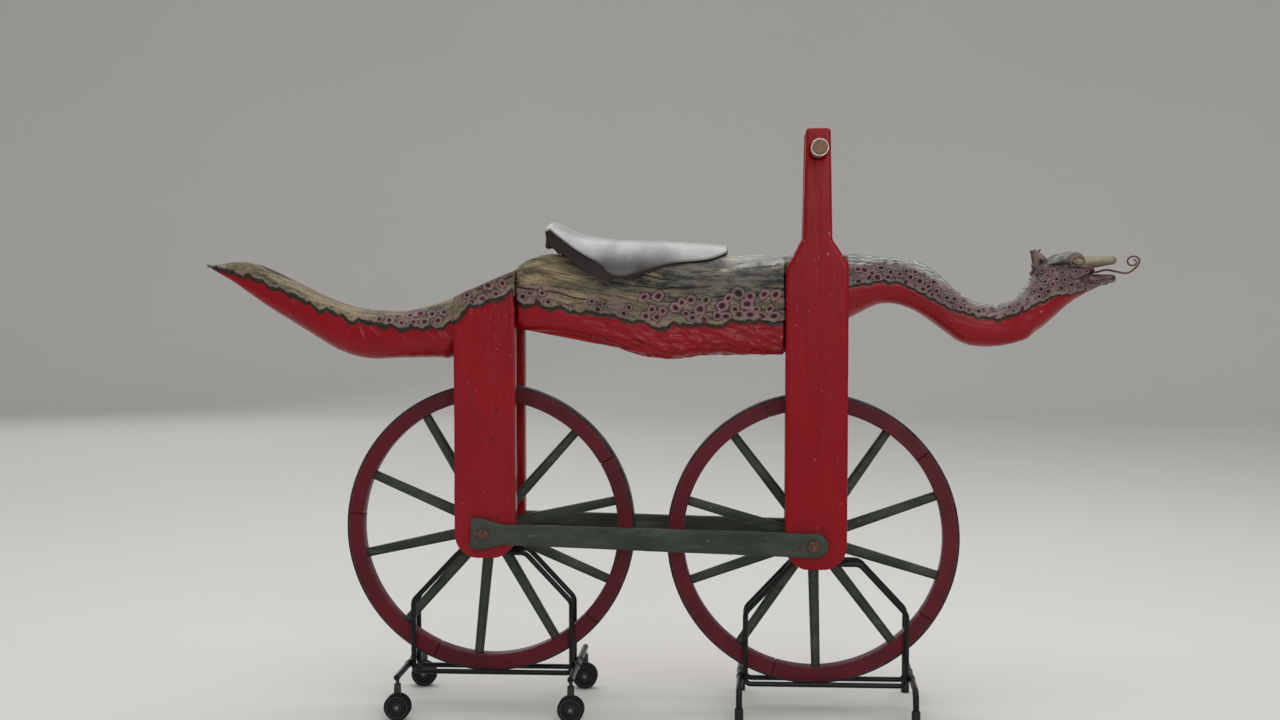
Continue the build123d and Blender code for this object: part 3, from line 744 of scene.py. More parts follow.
# %% Head colours
def paint_head(finish, ground, above, ahead, fine):
    """The head's own colours, each on the form that its mark covers."""
    blotches = finish.noise(14, detail=4)
    cheek = finish.layers(
        finish.shades(blotches, (76, 66, 65), (124, 104, 101)),
        (finish.noise(9, detail=3).rise(0.58, 0.66) * 0.5, (148, 96, 100)),
        (fine.rise(0.6, 0.7) * 0.5, (146, 134, 126)),
    )
    tan = finish.shades(blotches, (74, 62, 58), (122, 104, 98), 0.4, 0.6)
    olive = finish.layers(
        finish.shades(blotches, (124, 118, 94), (148, 140, 116), 0.3, 0.7),
        (fine.rise(0.5, 0.75) * 0.4, (104, 92, 76)),
        (finish.mark("pink") * 0.8, (118, 84, 78)),
    )
    lips = finish.shades(blotches, (66, 44, 47), (98, 72, 72), 0.4, 0.6)
    leaf = finish.layers(
        finish.shades(blotches, (92, 96, 90), (138, 140, 132), 0.4, 0.6),
        (fine.rise(0.56, 0.7) * 0.5, (178, 180, 172)),
        (ahead.rise(934, 950) * 0.8, (110, 97, 84)),
    )
    return finish.layers(
        ground,
        (finish.mark("cheek"), cheek),
        (above.band(0.5, 6, 3) * ahead.rise(932, 956) * 0.75, (50, 54, 46)),
        (finish.mark("ear"), tan),
        (finish.mark("beak"), olive),
        (finish.mark("lip"), lips),
        (finish.mark("brow"), leaf),
    )


# %% Dragon paint
def dragon_paint():
    finish = Finish("dragon_paint", grain=True, Specular_IOR_Level=0.25)
    above = finish.mark("above")
    grain = finish.node("Attribute", {"attribute_name": "grain"}, output="Vector")
    ahead = finish.node("SeparateXYZ", inputs={0: grain}, output="X") * 1000
    fine = finish.noise(3, (0.06, 1, 1), detail=4, rough=0.6)
    ground = skin_ground(finish, above, ahead, fine)
    ground = paint_mane(finish, ground)
    ground = paint_head(finish, ground, above, ahead, fine)
    ground = paint_rings(finish, ground, above, ahead, fine)
    # a pale band on the raised rim just above the skin's edge, partly its paint and partly a painted
    # highlight
    pale_rim_and_highlight = above.band(1.2, 5, 1.2) * finish.noise(12, detail=3).rise(0.4, 0.6)
    # the head's dark mark is painted shade in its hollows, mouth, creases and grooves
    ground = finish.layers(ground, (pale_rim_and_highlight * 0.6, (118, 116, 102)), (finish.mark("dark"), (22, 15, 17)))
    red, red_roughness = red_coat(finish)
    wobble = (finish.noise(14, detail=3) - 0.5) * 13
    skin = (above + wobble * 0.25).rise(-0.3, 0.5)
    finer = 1 + ahead.rise(550, 600) * 0.7
    # the outline band is wide and uneven, so that besides a drawn line it is painted shadow under the
    # hanging lobes
    outline = (above * finer + wobble).band(-5.4, 0.6, 0.8)
    cracks = finish.mark("crack").rise(0.15, 0.6)
    colour = finish.layers(red, (skin, ground), (cracks * 0.9, (30, 24, 20)), (outline * 0.93, OUTLINE))
    skin_roughness = 0.46 + fine * 0.3 - finish.mark("mane") * 0.22 - above.rise(84, 104) * 0.2
    finish.wear(colour, red_roughness * (1 - skin) + skin * skin_roughness)
    finish.bump(fine + finish.noise(9, (0.09, 1, 1), detail=5) * 0.6, 0.35)
    return finish.material


DRAGON = dragon_paint()
print("finish:", DRAGON.name, len(DRAGON.node_tree.nodes), "nodes")

# %% [markdown]
# ## Rods
# A form that the solids lack is added to them as a rod before they are melted: a row of ovals
# along a curved path. A full oval makes a round lip, and a squarish one fills out a beam. Any row
# of closed outlines becomes a form when faces are laid between them and a lid on each end.

# %% Rods
OVAL_POINTS, ROUND_END, ROD_STEPS = 32, 9, 5
# push along the rod of the ovals that round its end, as shares of the end's radius
ROUNDING = (0.4, 0.75, 0.95)


def through(stations, steps):
    """Smooth rows of numbers through the stations, steps between each two."""
    rows = np.array([stations[0], *stations, stations[-1]], float)
    smooth = []
    for a, b, c, d in zip(rows, rows[1:], rows[2:], rows[3:]):
        for t in np.arange(steps) / steps:
            square, cube = a - 2.5 * b + 2 * c - d / 2, 1.5 * (b - c) + (d - a) / 2
            smooth.append(b + t * (c - a) / 2 + t**2 * square + t**3 * cube)
    return np.array(smooth + [rows[-1]])


def lay_faces(form, outlines):
    """Faces between each two outlines, and a lid on the first and the last."""
    for first, second in zip(outlines, outlines[1:]):
        for i in range(len(first)):
            j = (i + 1) % len(first)
            form.faces.new((first[i], first[j], second[j], second[i]))
    form.faces.new(reversed(outlines[0]))
    form.faces.new(outlines[-1])


def add_rod(form, stations, side=1, upright=False, square=1.0):
    """Rod through stations of ahead, across, rise, half width and half height, with round ends."""
    rows = through(stations, ROD_STEPS)
    path = rows[:, :3] * (1, side, 1)
    along = np.tile((1.0, 0, 0), (len(path), 1)) if upright else np.gradient(path, axis=0)
    along /= np.linalg.norm(along, axis=1)[:, None]
    turn = np.arange(OVAL_POINTS) / OVAL_POINTS * math.tau
    across = np.sign(np.cos(turn)) * np.abs(np.cos(turn)) ** square
    upward = np.sign(np.sin(turn)) * np.abs(np.sin(turn)) ** square
    start = [(0, -push) for push in reversed(ROUNDING)]
    end = [(-1, push) for push in ROUNDING]
    ovals = []
    for index, push in start + [(i, 0) for i in range(len(rows))] + end:
        width, height = rows[index, 3:5] * math.sqrt(1 - push**2)
        centre = path[index] + along[index] * push * min(rows[index, 4], ROUND_END)
        up = np.cross(along[index], (0, 1, 0))
        up /= -np.linalg.norm(up)
        ring = centre + np.outer(across * width, (0, 1, 0)) + np.outer(upward * height, up)
        ovals.append([form.verts.new(spot(*point)) for point in ring])
    lay_faces(form, ovals)


print("rod kit ready")

# %% [markdown]
# ## The trunk
# The trunk is one beam of hard wood, hewn rather than planed. Its rear part is worn down to the
# wood, so the fibres stand out most there, and the rings stand in two rows. Towards the front
# posts they stand in three, and the belly shows the gouge most clearly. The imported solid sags
# inwards between two of its sections, under the saddle's nose and ahead of it, so a squarish rod
# fills it out there. The shoulder under the saddle's nose is worn down.

# %% Trunk
def mount(piece, material, slot, *nodes):
    """Give a piece its finish and let it ride the frame, in place of its solids if it has any."""
    piece.data.materials.append(material)
    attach(piece, "root")
    if nodes:
        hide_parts(*nodes)


TRUNK_START, TRUNK_END, NECK_END = -50.5, 588.5, 888.5
# stations: ahead, across, rise, half width, half height
SWELL = (
    (335, 0, 77, 71.2, 72.5), (380, 0, 77, 70.6, 72.5), (430, 0, 77.2, 69.6, 72.5),
    (484, 0, 77.6, 67.8, 72),
)
SHOULDER_WORN = 10
form = solid_form("trunk")
add_rod(form, SWELL, upright=True, square=0.35)
trunk = Wood(dense_wood("carved_trunk", form, voxel=2.05, rounds=5))
x, y, z = trunk.points.T
under_nose = plateau(x, 250, 310, 385, 488) * slope(np.abs(y), 30, 58) * slope(z, 115, 160)
trunk.points[:, 2] -= SHOULDER_WORN * under_nose
trunk_rings = ring_rows(trunk, rows=2, start=56, end=250, share=0.85)
trunk_rings += ring_rows(trunk, rows=3, start=250, end=490, share=0.9)
old = 1 - slope(trunk.ahead, 180, 330)
marks = cut_wood(trunk, trunk_rings, fibre_depth=0.7 + 0.3 * old, crack_depth=1.8 + 0.8 * old)
belly = (trunk.above < -7) & (trunk.ahead < 474)
hewn_belly, plain_belly, split_belly = (belly & part for part in (x > 180, x < 200, x > 230))
strokes = gouge(trunk, hewn_belly, count=560, length=17, width=5.5, slant=0.35, depth=3.4)
marks["ridge"] = (1 - slope(strokes, 0.1, 0.35)) * slope(x, 170, 230)
gouge(trunk, plain_belly, count=120, length=50, width=6, slant=0.12, depth=0.7)
splits = gouge(trunk, split_belly, count=22, length=14, width=2.2, slant=0.4, depth=2.4)
marks["dent"] = slope(splits, 0.1, 0.5)
back = slope(trunk.above, 20, 45)
trunk.raise_by(1.3 * (cloudy(trunk.points, (55, 30, 24), 21) * back) - 1.2 * back)
trunk.finish(**marks)
mount(trunk.piece, DRAGON, "dragon_paint", "trunk")
print("rings on the trunk:", len(trunk_rings))

# %% [markdown]
# ## The tail
# The tail sweeps up to a point and is smoother than the trunk. It has one row of rings, and two
# near the boards. It reaches a few millimetres into the trunk, so no gap shows at the joint, and
# two tables bring its lower and its upper side to the picture's curve there.

# %% Tail
JOINT_OVERLAP = 4
form = solid_form("tail")
reach_into(form, spot(TRUNK_START, 0, 0).x, JOINT_OVERLAP)
# ahead, lift of the lower side and then of the upper side
TAIL_BELLY = (
    (-340, 0), (-286, -4.6), (-252, -6), (-218, -4.6), (-172, -3), (-125, -2.5), (-105, 1.5),
    (-88, 7), (-78, 8.5), (-67, 6), (-50, 5),
)
TAIL_BACK = ((-185, 0), (-157, -3), (-129, -7), (-101, -8), (-80, -6.5), (-62, -3), (-50, 0))
tail = Wood(dense_wood("carved_tail", form, voxel=1.85, rounds=4))
lift = look_up(TAIL_BELLY, tail.ahead) * slope(-tail.flow[:, 2], 0, 30)
lift += look_up(TAIL_BACK, tail.ahead) * slope(tail.flow[:, 2], 0, 25)
tail.points[:, 2] += lift
tail_rings = ring_rows(tail, rows=1, start=-450, end=-190, share=0.9)
tail_rings += ring_rows(tail, rows=2, start=-190, end=-56, share=0.92)
marks = cut_wood(tail, tail_rings, fibre_depth=0.35, crack_depth=1.0)
slanted = (tail.above < -7) & (tail.ahead > -330)
strokes = gouge(tail, slanted, count=130, length=15, width=2.0, slant=0.9, depth=0.8)
high = 1 - slope(-tail.above, 14, 40)
marks["stroke"] = slope(strokes, 0.1, 0.5) * (high * slope(cloudy(tail.points, 40, 24), -0.1, 0.5))
tail.finish(**marks)
mount(tail.piece, DRAGON, "dragon_paint", "tail")
print("rings on the tail:", len(tail_rings))

# %% [markdown]
# ## Neck and head
# The neck dips and rises like a swan's, and long locks of a mane lie along its spine. The head is
# the showpiece: a blunt beak over an open mouth, bulging eyes under leaf-shaped brows, small
# hooked ears and tufts behind. It is put together from rods, and the voxel remesh melts them and
# the neck into one carving. That is quicker to shape than one mesh, and the creases where rods
# meet look cut by a knife.

# %% [markdown]
# ### Skull, beak and jaw
# The skull grows out of the neck and slopes down to the beak. Beak and jaw are separate rods, so
# the mouth between them is open back to its corner. Every form stays inside the solid's outline,
# which was measured from the picture. Where the neck runs into the throat the melted forms leave
# a crease, so that part is smoothed for longer. Two tables then let the neck's lower side down in
# a smoother curve and raise the hollow of its upper side.

# %% Head forms
# stations: ahead, across, rise, half width, half height
SKULL = (
    (866, 0, 66, 40, 34), (880, 0, 79, 43, 41), (889, 0, 90, 45, 46), (897, 0, 99, 45.5, 49),
    (906, 0, 105, 45, 49), (920, 0, 114, 43, 46), (938, 0, 124.5, 40, 40.5), (955, 0, 130.5, 35, 34.5),
    (968, 0, 131.5, 29, 28.5), (976, 0, 132, 23, 24),
)
BEAK = (
    (940, 0, 151, 27, 13), (965, 0, 157, 23, 11), (985, 0, 159, 19, 9.6), (1005, 0, 161, 17, 7.6),
    (1016, 0, 162, 15, 6.7),
)
JAW = (
    (945, 0, 108, 30, 17), (960, 0, 115, 28, 16), (980, 0, 124, 23, 14.5), (1000, 0, 129, 19, 10.3),
    (1016, 0, 132.5, 14, 6.4),
)
NAPE = (
    (882, 0, 112, 8, 8), (890, 0, 128, 9, 8), (899, 0, 144, 9, 8), (913, 0, 156, 9, 7),
    (930, 0, 162, 8, 6),
)
UPPER_LIP = (
    (948, 25, 144, 8, 8), (960, 23, 142.5, 8, 8), (972, 20, 143.5, 7, 6.5), (982, 17, 147, 5, 4),
)
LOWER_LIP = (
    (958, 24, 128, 6, 5), (975, 21, 130, 5.5, 5), (995, 16, 133.5, 5, 4.5),
    (1016, 10, 134.5, 4.5, 4),
)
BROW = (
    (911, 25, 157, 5, 2.2), (918, 27, 160.5, 7, 5), (926, 28, 164.5, 8.5, 6.3),
    (934, 29, 167, 8.5, 5.8), (941, 29, 170.5, 8, 4.6), (949, 28.5, 173, 7.5, 3),
    (957, 27.5, 172.5, 6.5, 2.8), (963, 26.5, 169, 4.5, 2.6), (967, 26, 164.5, 2.5, 2),
)
UPPER_LID = (
    (944, 31, 157, 2.6, 2), (945, 32.5, 163.5, 3.2, 2.4), (952, 32.5, 168.4, 3.6, 2.6),
    (960, 31, 168.4, 3.3, 2.5), (966.5, 28.5, 164, 2.8, 2), (968, 27, 158, 2, 1.6),
)
LOWER_LID = (
    (945, 32, 156, 2, 1.6), (952, 34, 153.4, 2.4, 1.8), (961, 32, 153.2, 2.2, 1.7),
    (967, 28, 156, 1.6, 1.4),
)
EAR = (
    (901, 26, 140, 7, 10), (900.5, 27, 152, 7.5, 10.5), (899, 28, 161, 6.5, 9), (895.5, 29, 168, 5, 6.5),
    (893, 29, 173.5, 3.2, 4), (894, 29, 177.4, 2, 2), (897, 29, 179, 1.4, 1.4),
)
EAR_HOOK = ((892, 28, 170, 2.8, 2.8), (889.5, 28, 174.5, 2, 2), (888, 28, 177.5, 1.3, 1.3))
TUFTS = (
    ((897, 16, 150, 5, 5), (892, 17, 151.5, 3.4, 3.4), (889.5, 17, 154.5, 1.8, 1.8)),
    ((896, 24, 138, 5, 5), (891, 26, 139, 3.4, 3.4), (888.5, 26, 142, 1.8, 1.8)),
    ((891, 10, 128, 5, 5), (887, 10, 129, 3.4, 3.4), (885, 10, 132, 1.8, 1.8)),
)
# ahead, lift of the lower side
THROAT = (
    (640, 0), (680, -5), (705, -6), (750, -4.5), (767, -7), (788, -7), (816, -5), (834, -2.5),
    (855, 1.5), (864, 3), (877, 0), (888, -4), (905, -4), (921, -3.5), (945, -2), (965, 0),
)
CREASE_START, CREASE_END, CREASE_TOP, CREASE_ROUNDS = 864, 926, 88, 120
# ahead, lift of the upper side
HOLLOW = (
    (805, 0), (819, 2), (833, 5), (842, 9), (852, 13), (860, 15), (866, 14), (872, 9), (879, 4), (886, 0),
)
form = solid_form("neck")
reach_into(form, spot(TRUNK_END, 0, 0).x, -JOINT_OVERLAP)
add_rod(form, SKULL, upright=True, square=0.8)
for stations in (BEAK, JAW, NAPE):
    add_rod(form, stations, upright=True)
for name, side in SIDES:
    for stations in (UPPER_LIP, LOWER_LIP, BROW, UPPER_LID, LOWER_LID, EAR, EAR_HOOK, *TUFTS):
        add_rod(form, stations, side)
front_piece = dense_wood("carved_front", form, voxel=1.16, rounds=4)
x, y, z = Wood(front_piece).points.T
creased = (x > CREASE_START) & (x < CREASE_END) & (z < CREASE_TOP)
group = front_piece.vertex_groups.new(name="throat")
group.add(np.flatnonzero(creased).tolist(), 1.0, "REPLACE")
ease = front_piece.modifiers.new("ease the throat", "SMOOTH")
ease.vertex_group = group.name
ease.factor = 1.0
ease.iterations = CREASE_ROUNDS
apply_modifiers(front_piece)
front = Wood(front_piece)
lift = look_up(THROAT, front.ahead) * slope(-front.flow[:, 2], 0, 30)
lift += look_up(HOLLOW, front.ahead) * slope(front.flow[:, 2], 12, 30)
front.points[:, 2] += lift

# %% [markdown]
# ### Cutting the neck and the head
# The mane is cut as ridges that run at a slant from the ring rows up to the top line. Rings crowd
# the cheeks up to the eye. The ear gets a hollow, the lower lip a groove from end to end, the
# brow the veins of a leaf, and the beak shallow ridges along its length. The ear's hollow, the
# open mouth, the creases, the lip's groove and the brow's veins are darkened with painted shade.

# %% Knife work
def near(wood, ahead, across, rise, radius):
    """1 at a place on both sides of the head, fading to 0 at the radius."""
    x, y, z = wood.points.T
    away = np.column_stack((x, np.abs(y), z)) - (ahead, across, rise)
    return 1 - slope(np.linalg.norm(away, axis=1), 0.35 * radius, radius)


def knife_line(wood, path, width):
    """1 along a line through places ahead and above the belly, seen from the side."""
    line = through(path, KNIFE_STEPS)
    low, high = line.min(axis=0) - 4 * width, line.max(axis=0) + 4 * width
    seen = wood.points[:, [0, 2]]
    inside = ((seen > low) & (seen < high)).all(axis=1)
    close = np.flatnonzero(inside & (np.abs(wood.points[:, 1]) > SPINE_HALF))
    away = np.linalg.norm(seen[close, None] - line, axis=2).min(axis=1)
    cut = np.zeros(len(seen))
    cut[close] = hump(away, 0, width)
    return cut


def comb_mane(wood, low, start, end, depth):
    """Cut slanting locks above a line. Returns the marks for their paint."""
    x, y, z = wood.points.T
    mane = slope(wood.above, low - 2, low + 3) * plateau(x, start, start + 12, end - 10, end)
    mane *= 1 - slope(np.abs(y), 14, 22) * slope(x, 856, 882)
    phase = (wood.above - low) / 5.5 + x / 120 + 0.5 * cloudy(wood.flow, (70, 30, 30), 31)
    gap = 1 - np.abs(np.cos(math.pi * phase))
    wood.raise_by(-depth * mane * gap**2)
    return {"gap": gap * mane, "mane": mane}


KNIFE_STEPS, SPINE_HALF = 24, 9
# ahead, height of the mane's foot over the skin's edge
MANE_FOOT = ((740, 29), (790, 17), (850, 15), (888, 18))
# ahead, rise of the lower lip's groove and of the brow's foot
LIP_LINE = ((955, 125), (975, 128), (1000, 130.5), (1024, 131.5))
BROW_FOOT = (
    (911, 156), (918, 157), (926, 159), (934, 162), (941, 166.5), (949, 170.5), (957, 170),
    (963, 167.5),
)
CREASES = (
    ((943, 141), (945, 134.5), (949, 132), (959.5, 133), (967.5, 136.5), (977, 141)),
    ((917, 155), (927, 156), (937, 157), (943, 155), (945, 150)),
    ((940, 151), (950, 151), (962, 150.5), (972, 149), (984, 148.5)),
)
CHEEK_RINGS = (
    (899, 146), (908, 138), (922, 132), (935, 131), (946, 123), (958, 118), (970, 117), (981, 119),
    (915, 124), (929, 118), (943, 112), (903, 128), (892, 138), (896, 116), (908, 112), (921, 106),
    (934, 101), (953.5, 144.7), (916, 146), (931, 143), (889, 126), (971, 145), (893, 104), (906, 99),
    (886, 112), (993, 125),
)
tree = BVHTree.FromObject(front.piece, bpy.context.evaluated_depsgraph_get())
front_rings = ring_rows(front, rows=3, start=591, end=780, share=0.97)
front_rings += ring_rows(front, rows=2, start=780, end=885, share=0.97)
for name, side in SIDES:
    places = (ring_at(tree, ahead, side, rise, RNG.uniform(4, 5.2)) for ahead, rise in CHEEK_RINGS)
    front_rings += [ring for ring in places if ring]
x, y, z = front.points.T
head_share = slope(x, 884, 900)
marks = cut_wood(front, front_rings, fibre_depth=0.2 - 0.1 * head_share, crack_depth=0)
del marks["crack"]
marks |= comb_mane(front, look_up(MANE_FOOT, x), start=570, end=889, depth=1.5)
marks["ring"] = np.maximum(marks["ring"], 3 * marks["mane"])
lip_line = look_up(LIP_LINE, x)
on_jaw = slope(x, 950, 965) * (1 - slope(z, 139, 141))
on_beak = slope(x, 958, 972) * slope(z, 149, 152)
groove = hump(z - lip_line, 0, 0.9) * on_jaw
hollow = near(front, 897, 35, 160, 6.5)
gape = near(front, 982, 14, 143, 19) * (1 - slope(np.abs(z - 143.5), 4.5, 6.5))
brow_foot = look_up(BROW_FOOT, x)
brow = slope(z - brow_foot, -0.6, 0.6) * slope(np.abs(y), 16, 20) * plateau(x, 908, 911, 964, 968)
vein = np.abs(np.cos((z - brow_foot - 0.12 * (x - 911)) / 3.5 * math.pi / 2))
creases = np.max([knife_line(front, path, 1.3) for path in CREASES], axis=0)
front.raise_by(-1.1 * groove - 2.5 * hollow - 1.2 * creases - 0.5 * brow * (1 - vein))
beak_turn = np.arctan2(z - 159, np.abs(y))
front.raise_by(on_beak * (1 - brow) * 0.3 * np.sin(beak_turn * 14))
# painted shade: the ear's hollow, the open mouth, the creases, the lip's groove and the brow's veins are
# darkened
dark = np.max([hollow, gape, 0.9 * creases, 0.7 * groove, 0.45 * brow * slope(1 - vein, 0.7, 1)], axis=0)
ear = slope(z, 149, 154) * plateau(x, 876, 880, 905, 910)
front.finish(
    **marks, cheek=head_share, beak=on_beak * (1 - brow), lip=on_jaw * slope(z - lip_line, -7, -4),
    brow=brow, dark=dark, ear=ear, pink=on_beak * (1 - slope(z, 154, 160)) + slope(x, 1008, 1022) * on_beak,
)
print("rings on neck and head:", len(front_rings))

# %% [markdown]
# Neck and head are two pieces in the frame, so the finished carving is sawn in two at their joint.
# It was carved as one, so the rings and the paint run across the joint without a step.

# %% Saw cut
def saw(piece, x, names):
    """Cut a piece in two at x and return the half behind it and the half ahead of it."""
    halves = []
    for name, gone in zip(names, ("clear_outer", "clear_inner")):
        form = bmesh.new()
        form.from_mesh(piece.data)
        every = form.verts[:] + form.edges[:] + form.faces[:]
        bmesh.ops.bisect_plane(form, geom=every, plane_co=(x, 0, 0), plane_no=(1, 0, 0), **{gone: True})
        halves.append(new_piece(name, form))
    bpy.data.objects.remove(piece)
    return halves


neck, head = saw(front.piece, spot(NECK_END, 0, 0).x, ("carved_neck", "carved_head"))
mount(neck, DRAGON, "dragon_paint", "neck")
mount(head, DRAGON, "dragon_paint", "head")
print("faces:", len(neck.data.polygons), len(head.data.polygons))

# %% [markdown]
# ### Tongue
# The tongue is a hammered wire that leaves the mouth in a shallow wave and ends in a curl, thinner
# towards its tip.

# %% Tongue
TONGUE = (
    (974, 144), (989, 142.4), (1006, 146.4), (1024, 143.4), (1040, 141.3), (1053, 149.4),
    (1059.4, 158.9), (1057.6, 165.6), (1050.2, 168.6), (1042.6, 165.6), (1040.8, 159),
    (1045.6, 153.8), (1052.6, 154.8), (1055, 159.4), (1051, 163),
)
WIRE_ROOT, WIRE_TIP = 1.8, 1.25
radii = np.linspace(WIRE_ROOT, WIRE_TIP, len(TONGUE))
form = bmesh.new()
add_rod(form, [(ahead, 0, rise, radius, radius) for (ahead, rise), radius in zip(TONGUE, radii)])
tongue = new_piece("tongue_wire", form)
tongue.data.shade_smooth()
print("tongue has", len(tongue.data.polygons), "faces")

# %% [markdown]
# ### Eyes
# The eyes bulge from under the brows. Each is a ball pressed a little flat, with a ring cut round
# a domed iris, painted yellow ochre and varnished.

# %% Eyes
def eye_paint():
    finish = Finish("eye_paint", Coat_Weight=0.4)
    cloud = finish.noise(5, detail=3)
    iris = finish.mark("iris")
    colour = finish.layers(
        finish.shades(cloud, (116, 102, 66), (150, 138, 96)),
        ((1 - iris.rise(0.16, 0.3)) * 0.45, (60, 48, 30)),
        (iris.band(0.72, 0.95, 0.12) * 0.6, (84, 64, 40)),
    )
    finish.wear(colour, 0.25 + cloud * 0.15)
    return finish.material


EYE_PAINT = eye_paint()
EYE_AHEAD, EYE_OUT, EYE_RISE = 956.8, 29.5, 160.4
EYE_HALF = Vector((9.2, 8, 6))
# angle from the gaze to the iris's rim in degrees
IRIS_SPREAD = 42
for name, side in SIDES:
    form = bmesh.new()
    bmesh.ops.create_icosphere(form, subdivisions=4, radius=1)
    gaze, centre = Vector((0.2, side, 0.1)).normalized(), spot(EYE_AHEAD, side * EYE_OUT, EYE_RISE)
    turned = []
    for vertex in form.verts:
        outward = math.degrees(vertex.co.angle(gaze)) / IRIS_SPREAD
        turned.append(outward)
        bulge = 0.07 * hump(outward, 0, 0.6) - 0.05 * hump(outward, 0.85, 0.12)
        vertex.co = vertex.co * EYE_HALF * float(1 + bulge) * MM + centre
    eye = new_piece(f"eye_{name}", form)
    eye.data.attributes.new("iris", "FLOAT", "POINT").data.foreach_set("value", turned)
    eye.data.shade_smooth()
    mount(eye, EYE_PAINT, "dragon_paint")
print("two eyes")

# %% [markdown]
# ## The boards
# Four boards hold the axles. The rear pair ends at the line of the back and wears the dragon's
# skin on its top; the front pair narrows into posts. They were sawn, planed by hand and painted
# glossy red, so they need only a slight waviness, rounded edges, dents and long scratches. They
# are carved and painted with the same tools as the trunk, with the grain turned upright.

# %% Boards
def red_paint():
    finish = Finish("red_paint", grain=True, Specular_IOR_Level=0.18)
    red, roughness = red_coat(finish)
    finish.wear(red, roughness)
    finish.bump(finish.noise(8, (0.08, 1, 1), detail=4) - finish.mark("dent"), 0.3)
    return finish.material


RED_PAINT = red_paint()
for end, voxel in (("rear", 2.2), ("front", 2.8)):
    for name, side in SIDES:
        node = f"{end}_upright_{name}"
        board = Wood(dense_wood(f"{end}_board_{name}", solid_form(node), voxel, rounds=3))
        upright = board.points[:, [2, 1, 0]]
        board.raise_by(0.5 * cloudy(upright, (120, 40, 26), 41) - 0.5)
        board.raise_by(0.22 * cloudy(upright, (70, 9, 5), 42))
        dents = np.clip(cloudy(upright, (16, 12, 10), 43) - 0.72, 0, 1) * 4
        board.raise_by(-1.1 * dents)
        marks = {"dent": slope(dents, 0.1, 0.6)}
        if end == "rear":
            rings = ring_rows(board, rows=2, start=-46, end=48, share=0.9)
            marks |= cut_wood(board, rings, fibre_depth=0.25, crack_depth=0.6)
            board.raise_by(BELLY_CUT * (1 - slope(board.above, -14, -3)))
        plain = board.above < -4 if end == "rear" else np.full(len(upright), True)
        board.flow[plain] = upright[plain]
        board.finish(**marks)
        if end == "rear":
            mount(board.piece, DRAGON, "dragon_paint", node)
        else:
            mount(board.piece, RED_PAINT, "red_paint", node)

# %% [markdown]
# ## The rails
# A rail on each side ties the axles together. It is a thin green board with a dog-bone end at the
# back and a round nose in front, nailed over the boards. Its paint is rubbed through in scattered
# chips.

# %% Rails
def green_paint():
    finish = Finish("green_paint", Specular_IOR_Level=0.25)
    clouds = finish.noise(40, (0.4, 1, 1), detail=4)
    streaks = finish.noise(7, (0.08, 1, 0.5), detail=4)
    chips = finish.noise(6, (0.5, 1, 1), detail=4).rise(0.66, 0.72)
    colour = finish.layers(
        finish.shades(clouds, (40, 48, 40), (60, 66, 56)),
        (streaks.rise(0.55, 0.7) * 0.4, (84, 92, 82)),
        (chips * 0.7, (104, 98, 84)),
    )
    finish.wear(colour, 0.36 + clouds * 0.2)
    finish.bump(streaks - chips, 0.3)
    return finish.material


GREEN_PAINT = green_paint()
for name, side in SIDES:
    node = f"side_rail_{name}"
    rail = Wood(dense_wood(f"rail_{name}", solid_form(node), voxel=2.2, rounds=3))
    rail.raise_by(0.35 * cloudy(rail.points, (60, 14, 8), 51) - 0.35)
    rail.raise_by(-1.6 * np.clip(cloudy(rail.points, (11, 9, 8), 52) - 0.68, 0, 1))
    rail.finish()
    mount(rail.piece, GREEN_PAINT, "green_paint", node)
print("rails ready")

# %% [markdown]
# ## The saddle
# The saddle is a sheet of stiff leather, moulded while wet. Its top is smooth and silver-grey
# with age, sweeps up to a high cantle at the back and narrows to a nose. The wings hang over the
# trunk's sides. Below the leather lies a dark, torn lining. Both are grids between the same rows
# of stations, so the lining follows the leather.

# %% Saddle stations
# ahead, rise of the middle, half width, rise of the rim, sharpness of the bend, pad, skirt
SADDLE = (
    (99, 218, 54, 211, 3, 30, 14), (107, 223.5, 66, 214, 3, 38, 19), (118, 221, 76, 206, 3, 42, 20),
    (132, 213, 85, 196, 3, 36, 20), (150, 205.5, 92, 183, 3.5, 28, 24), (172, 200.5, 96, 170, 4, 22, 25),
    (190, 197.5, 97, 160, 5, 18, 22), (203, 196, 97, 146, 6, 12, 12), (216, 195, 96.5, 141, 6, 9, 5),
    (234, 194.5, 94, 141.5, 6, 8, 5), (250, 194, 89, 146, 6, 8, 5), (266, 193.5, 81, 151, 5, 8, 5),
    (286, 192.5, 74, 157, 5, 8, 5), (310, 191.5, 67, 162, 4, 8, 5), (346, 189.5, 60, 165, 3.4, 7, 5),
    (368, 188, 52, 168.5, 3, 6, 4), (384, 187, 41, 174, 2.6, 5, 4), (392, 186, 31, 178, 2.4, 4, 3.5),
)
LEATHER_ROWS, LEATHER_COLUMNS, LEATHER_THICK = 5, 64, 3.4


def saddle_grid(form, rows, depth_of, inset):
    """Grid of points across the saddle, some depth below its top."""
    grid = []
    for ahead, top, half, rim, sharp, pad, skirt in rows:
        line = []
        for column in range(LEATHER_COLUMNS + 1):
            share = math.sin((column / LEATHER_COLUMNS - 0.5) * math.pi)
            rise = top + (rim - top) * abs(share) ** sharp - depth_of(abs(share), pad, skirt)
            line.append(form.verts.new(spot(ahead, share * (half - inset), rise)))
        grid.append(line)
    return grid


def close_grids(form, upper, lower):
    """Faces over and under two grids and round their edges."""
    for a, b, c, d in zip(upper, upper[1:], lower, lower[1:]):
        for i in range(LEATHER_COLUMNS):
            form.faces.new((a[i], b[i], b[i + 1], a[i + 1]))
            form.faces.new((c[i], c[i + 1], d[i + 1], d[i]))
        form.faces.new((a[0], c[0], d[0], b[0]))
        form.faces.new((a[-1], b[-1], d[-1], c[-1]))
    for top_line, low_line, turn in ((upper[0], lower[0], 1), (upper[-1], lower[-1], -1)):
        for i in range(LEATHER_COLUMNS):
            corners = (top_line[i], top_line[i + 1], low_line[i + 1], low_line[i])
            form.faces.new(corners[::turn])


print("saddle rows:", len(SADDLE))
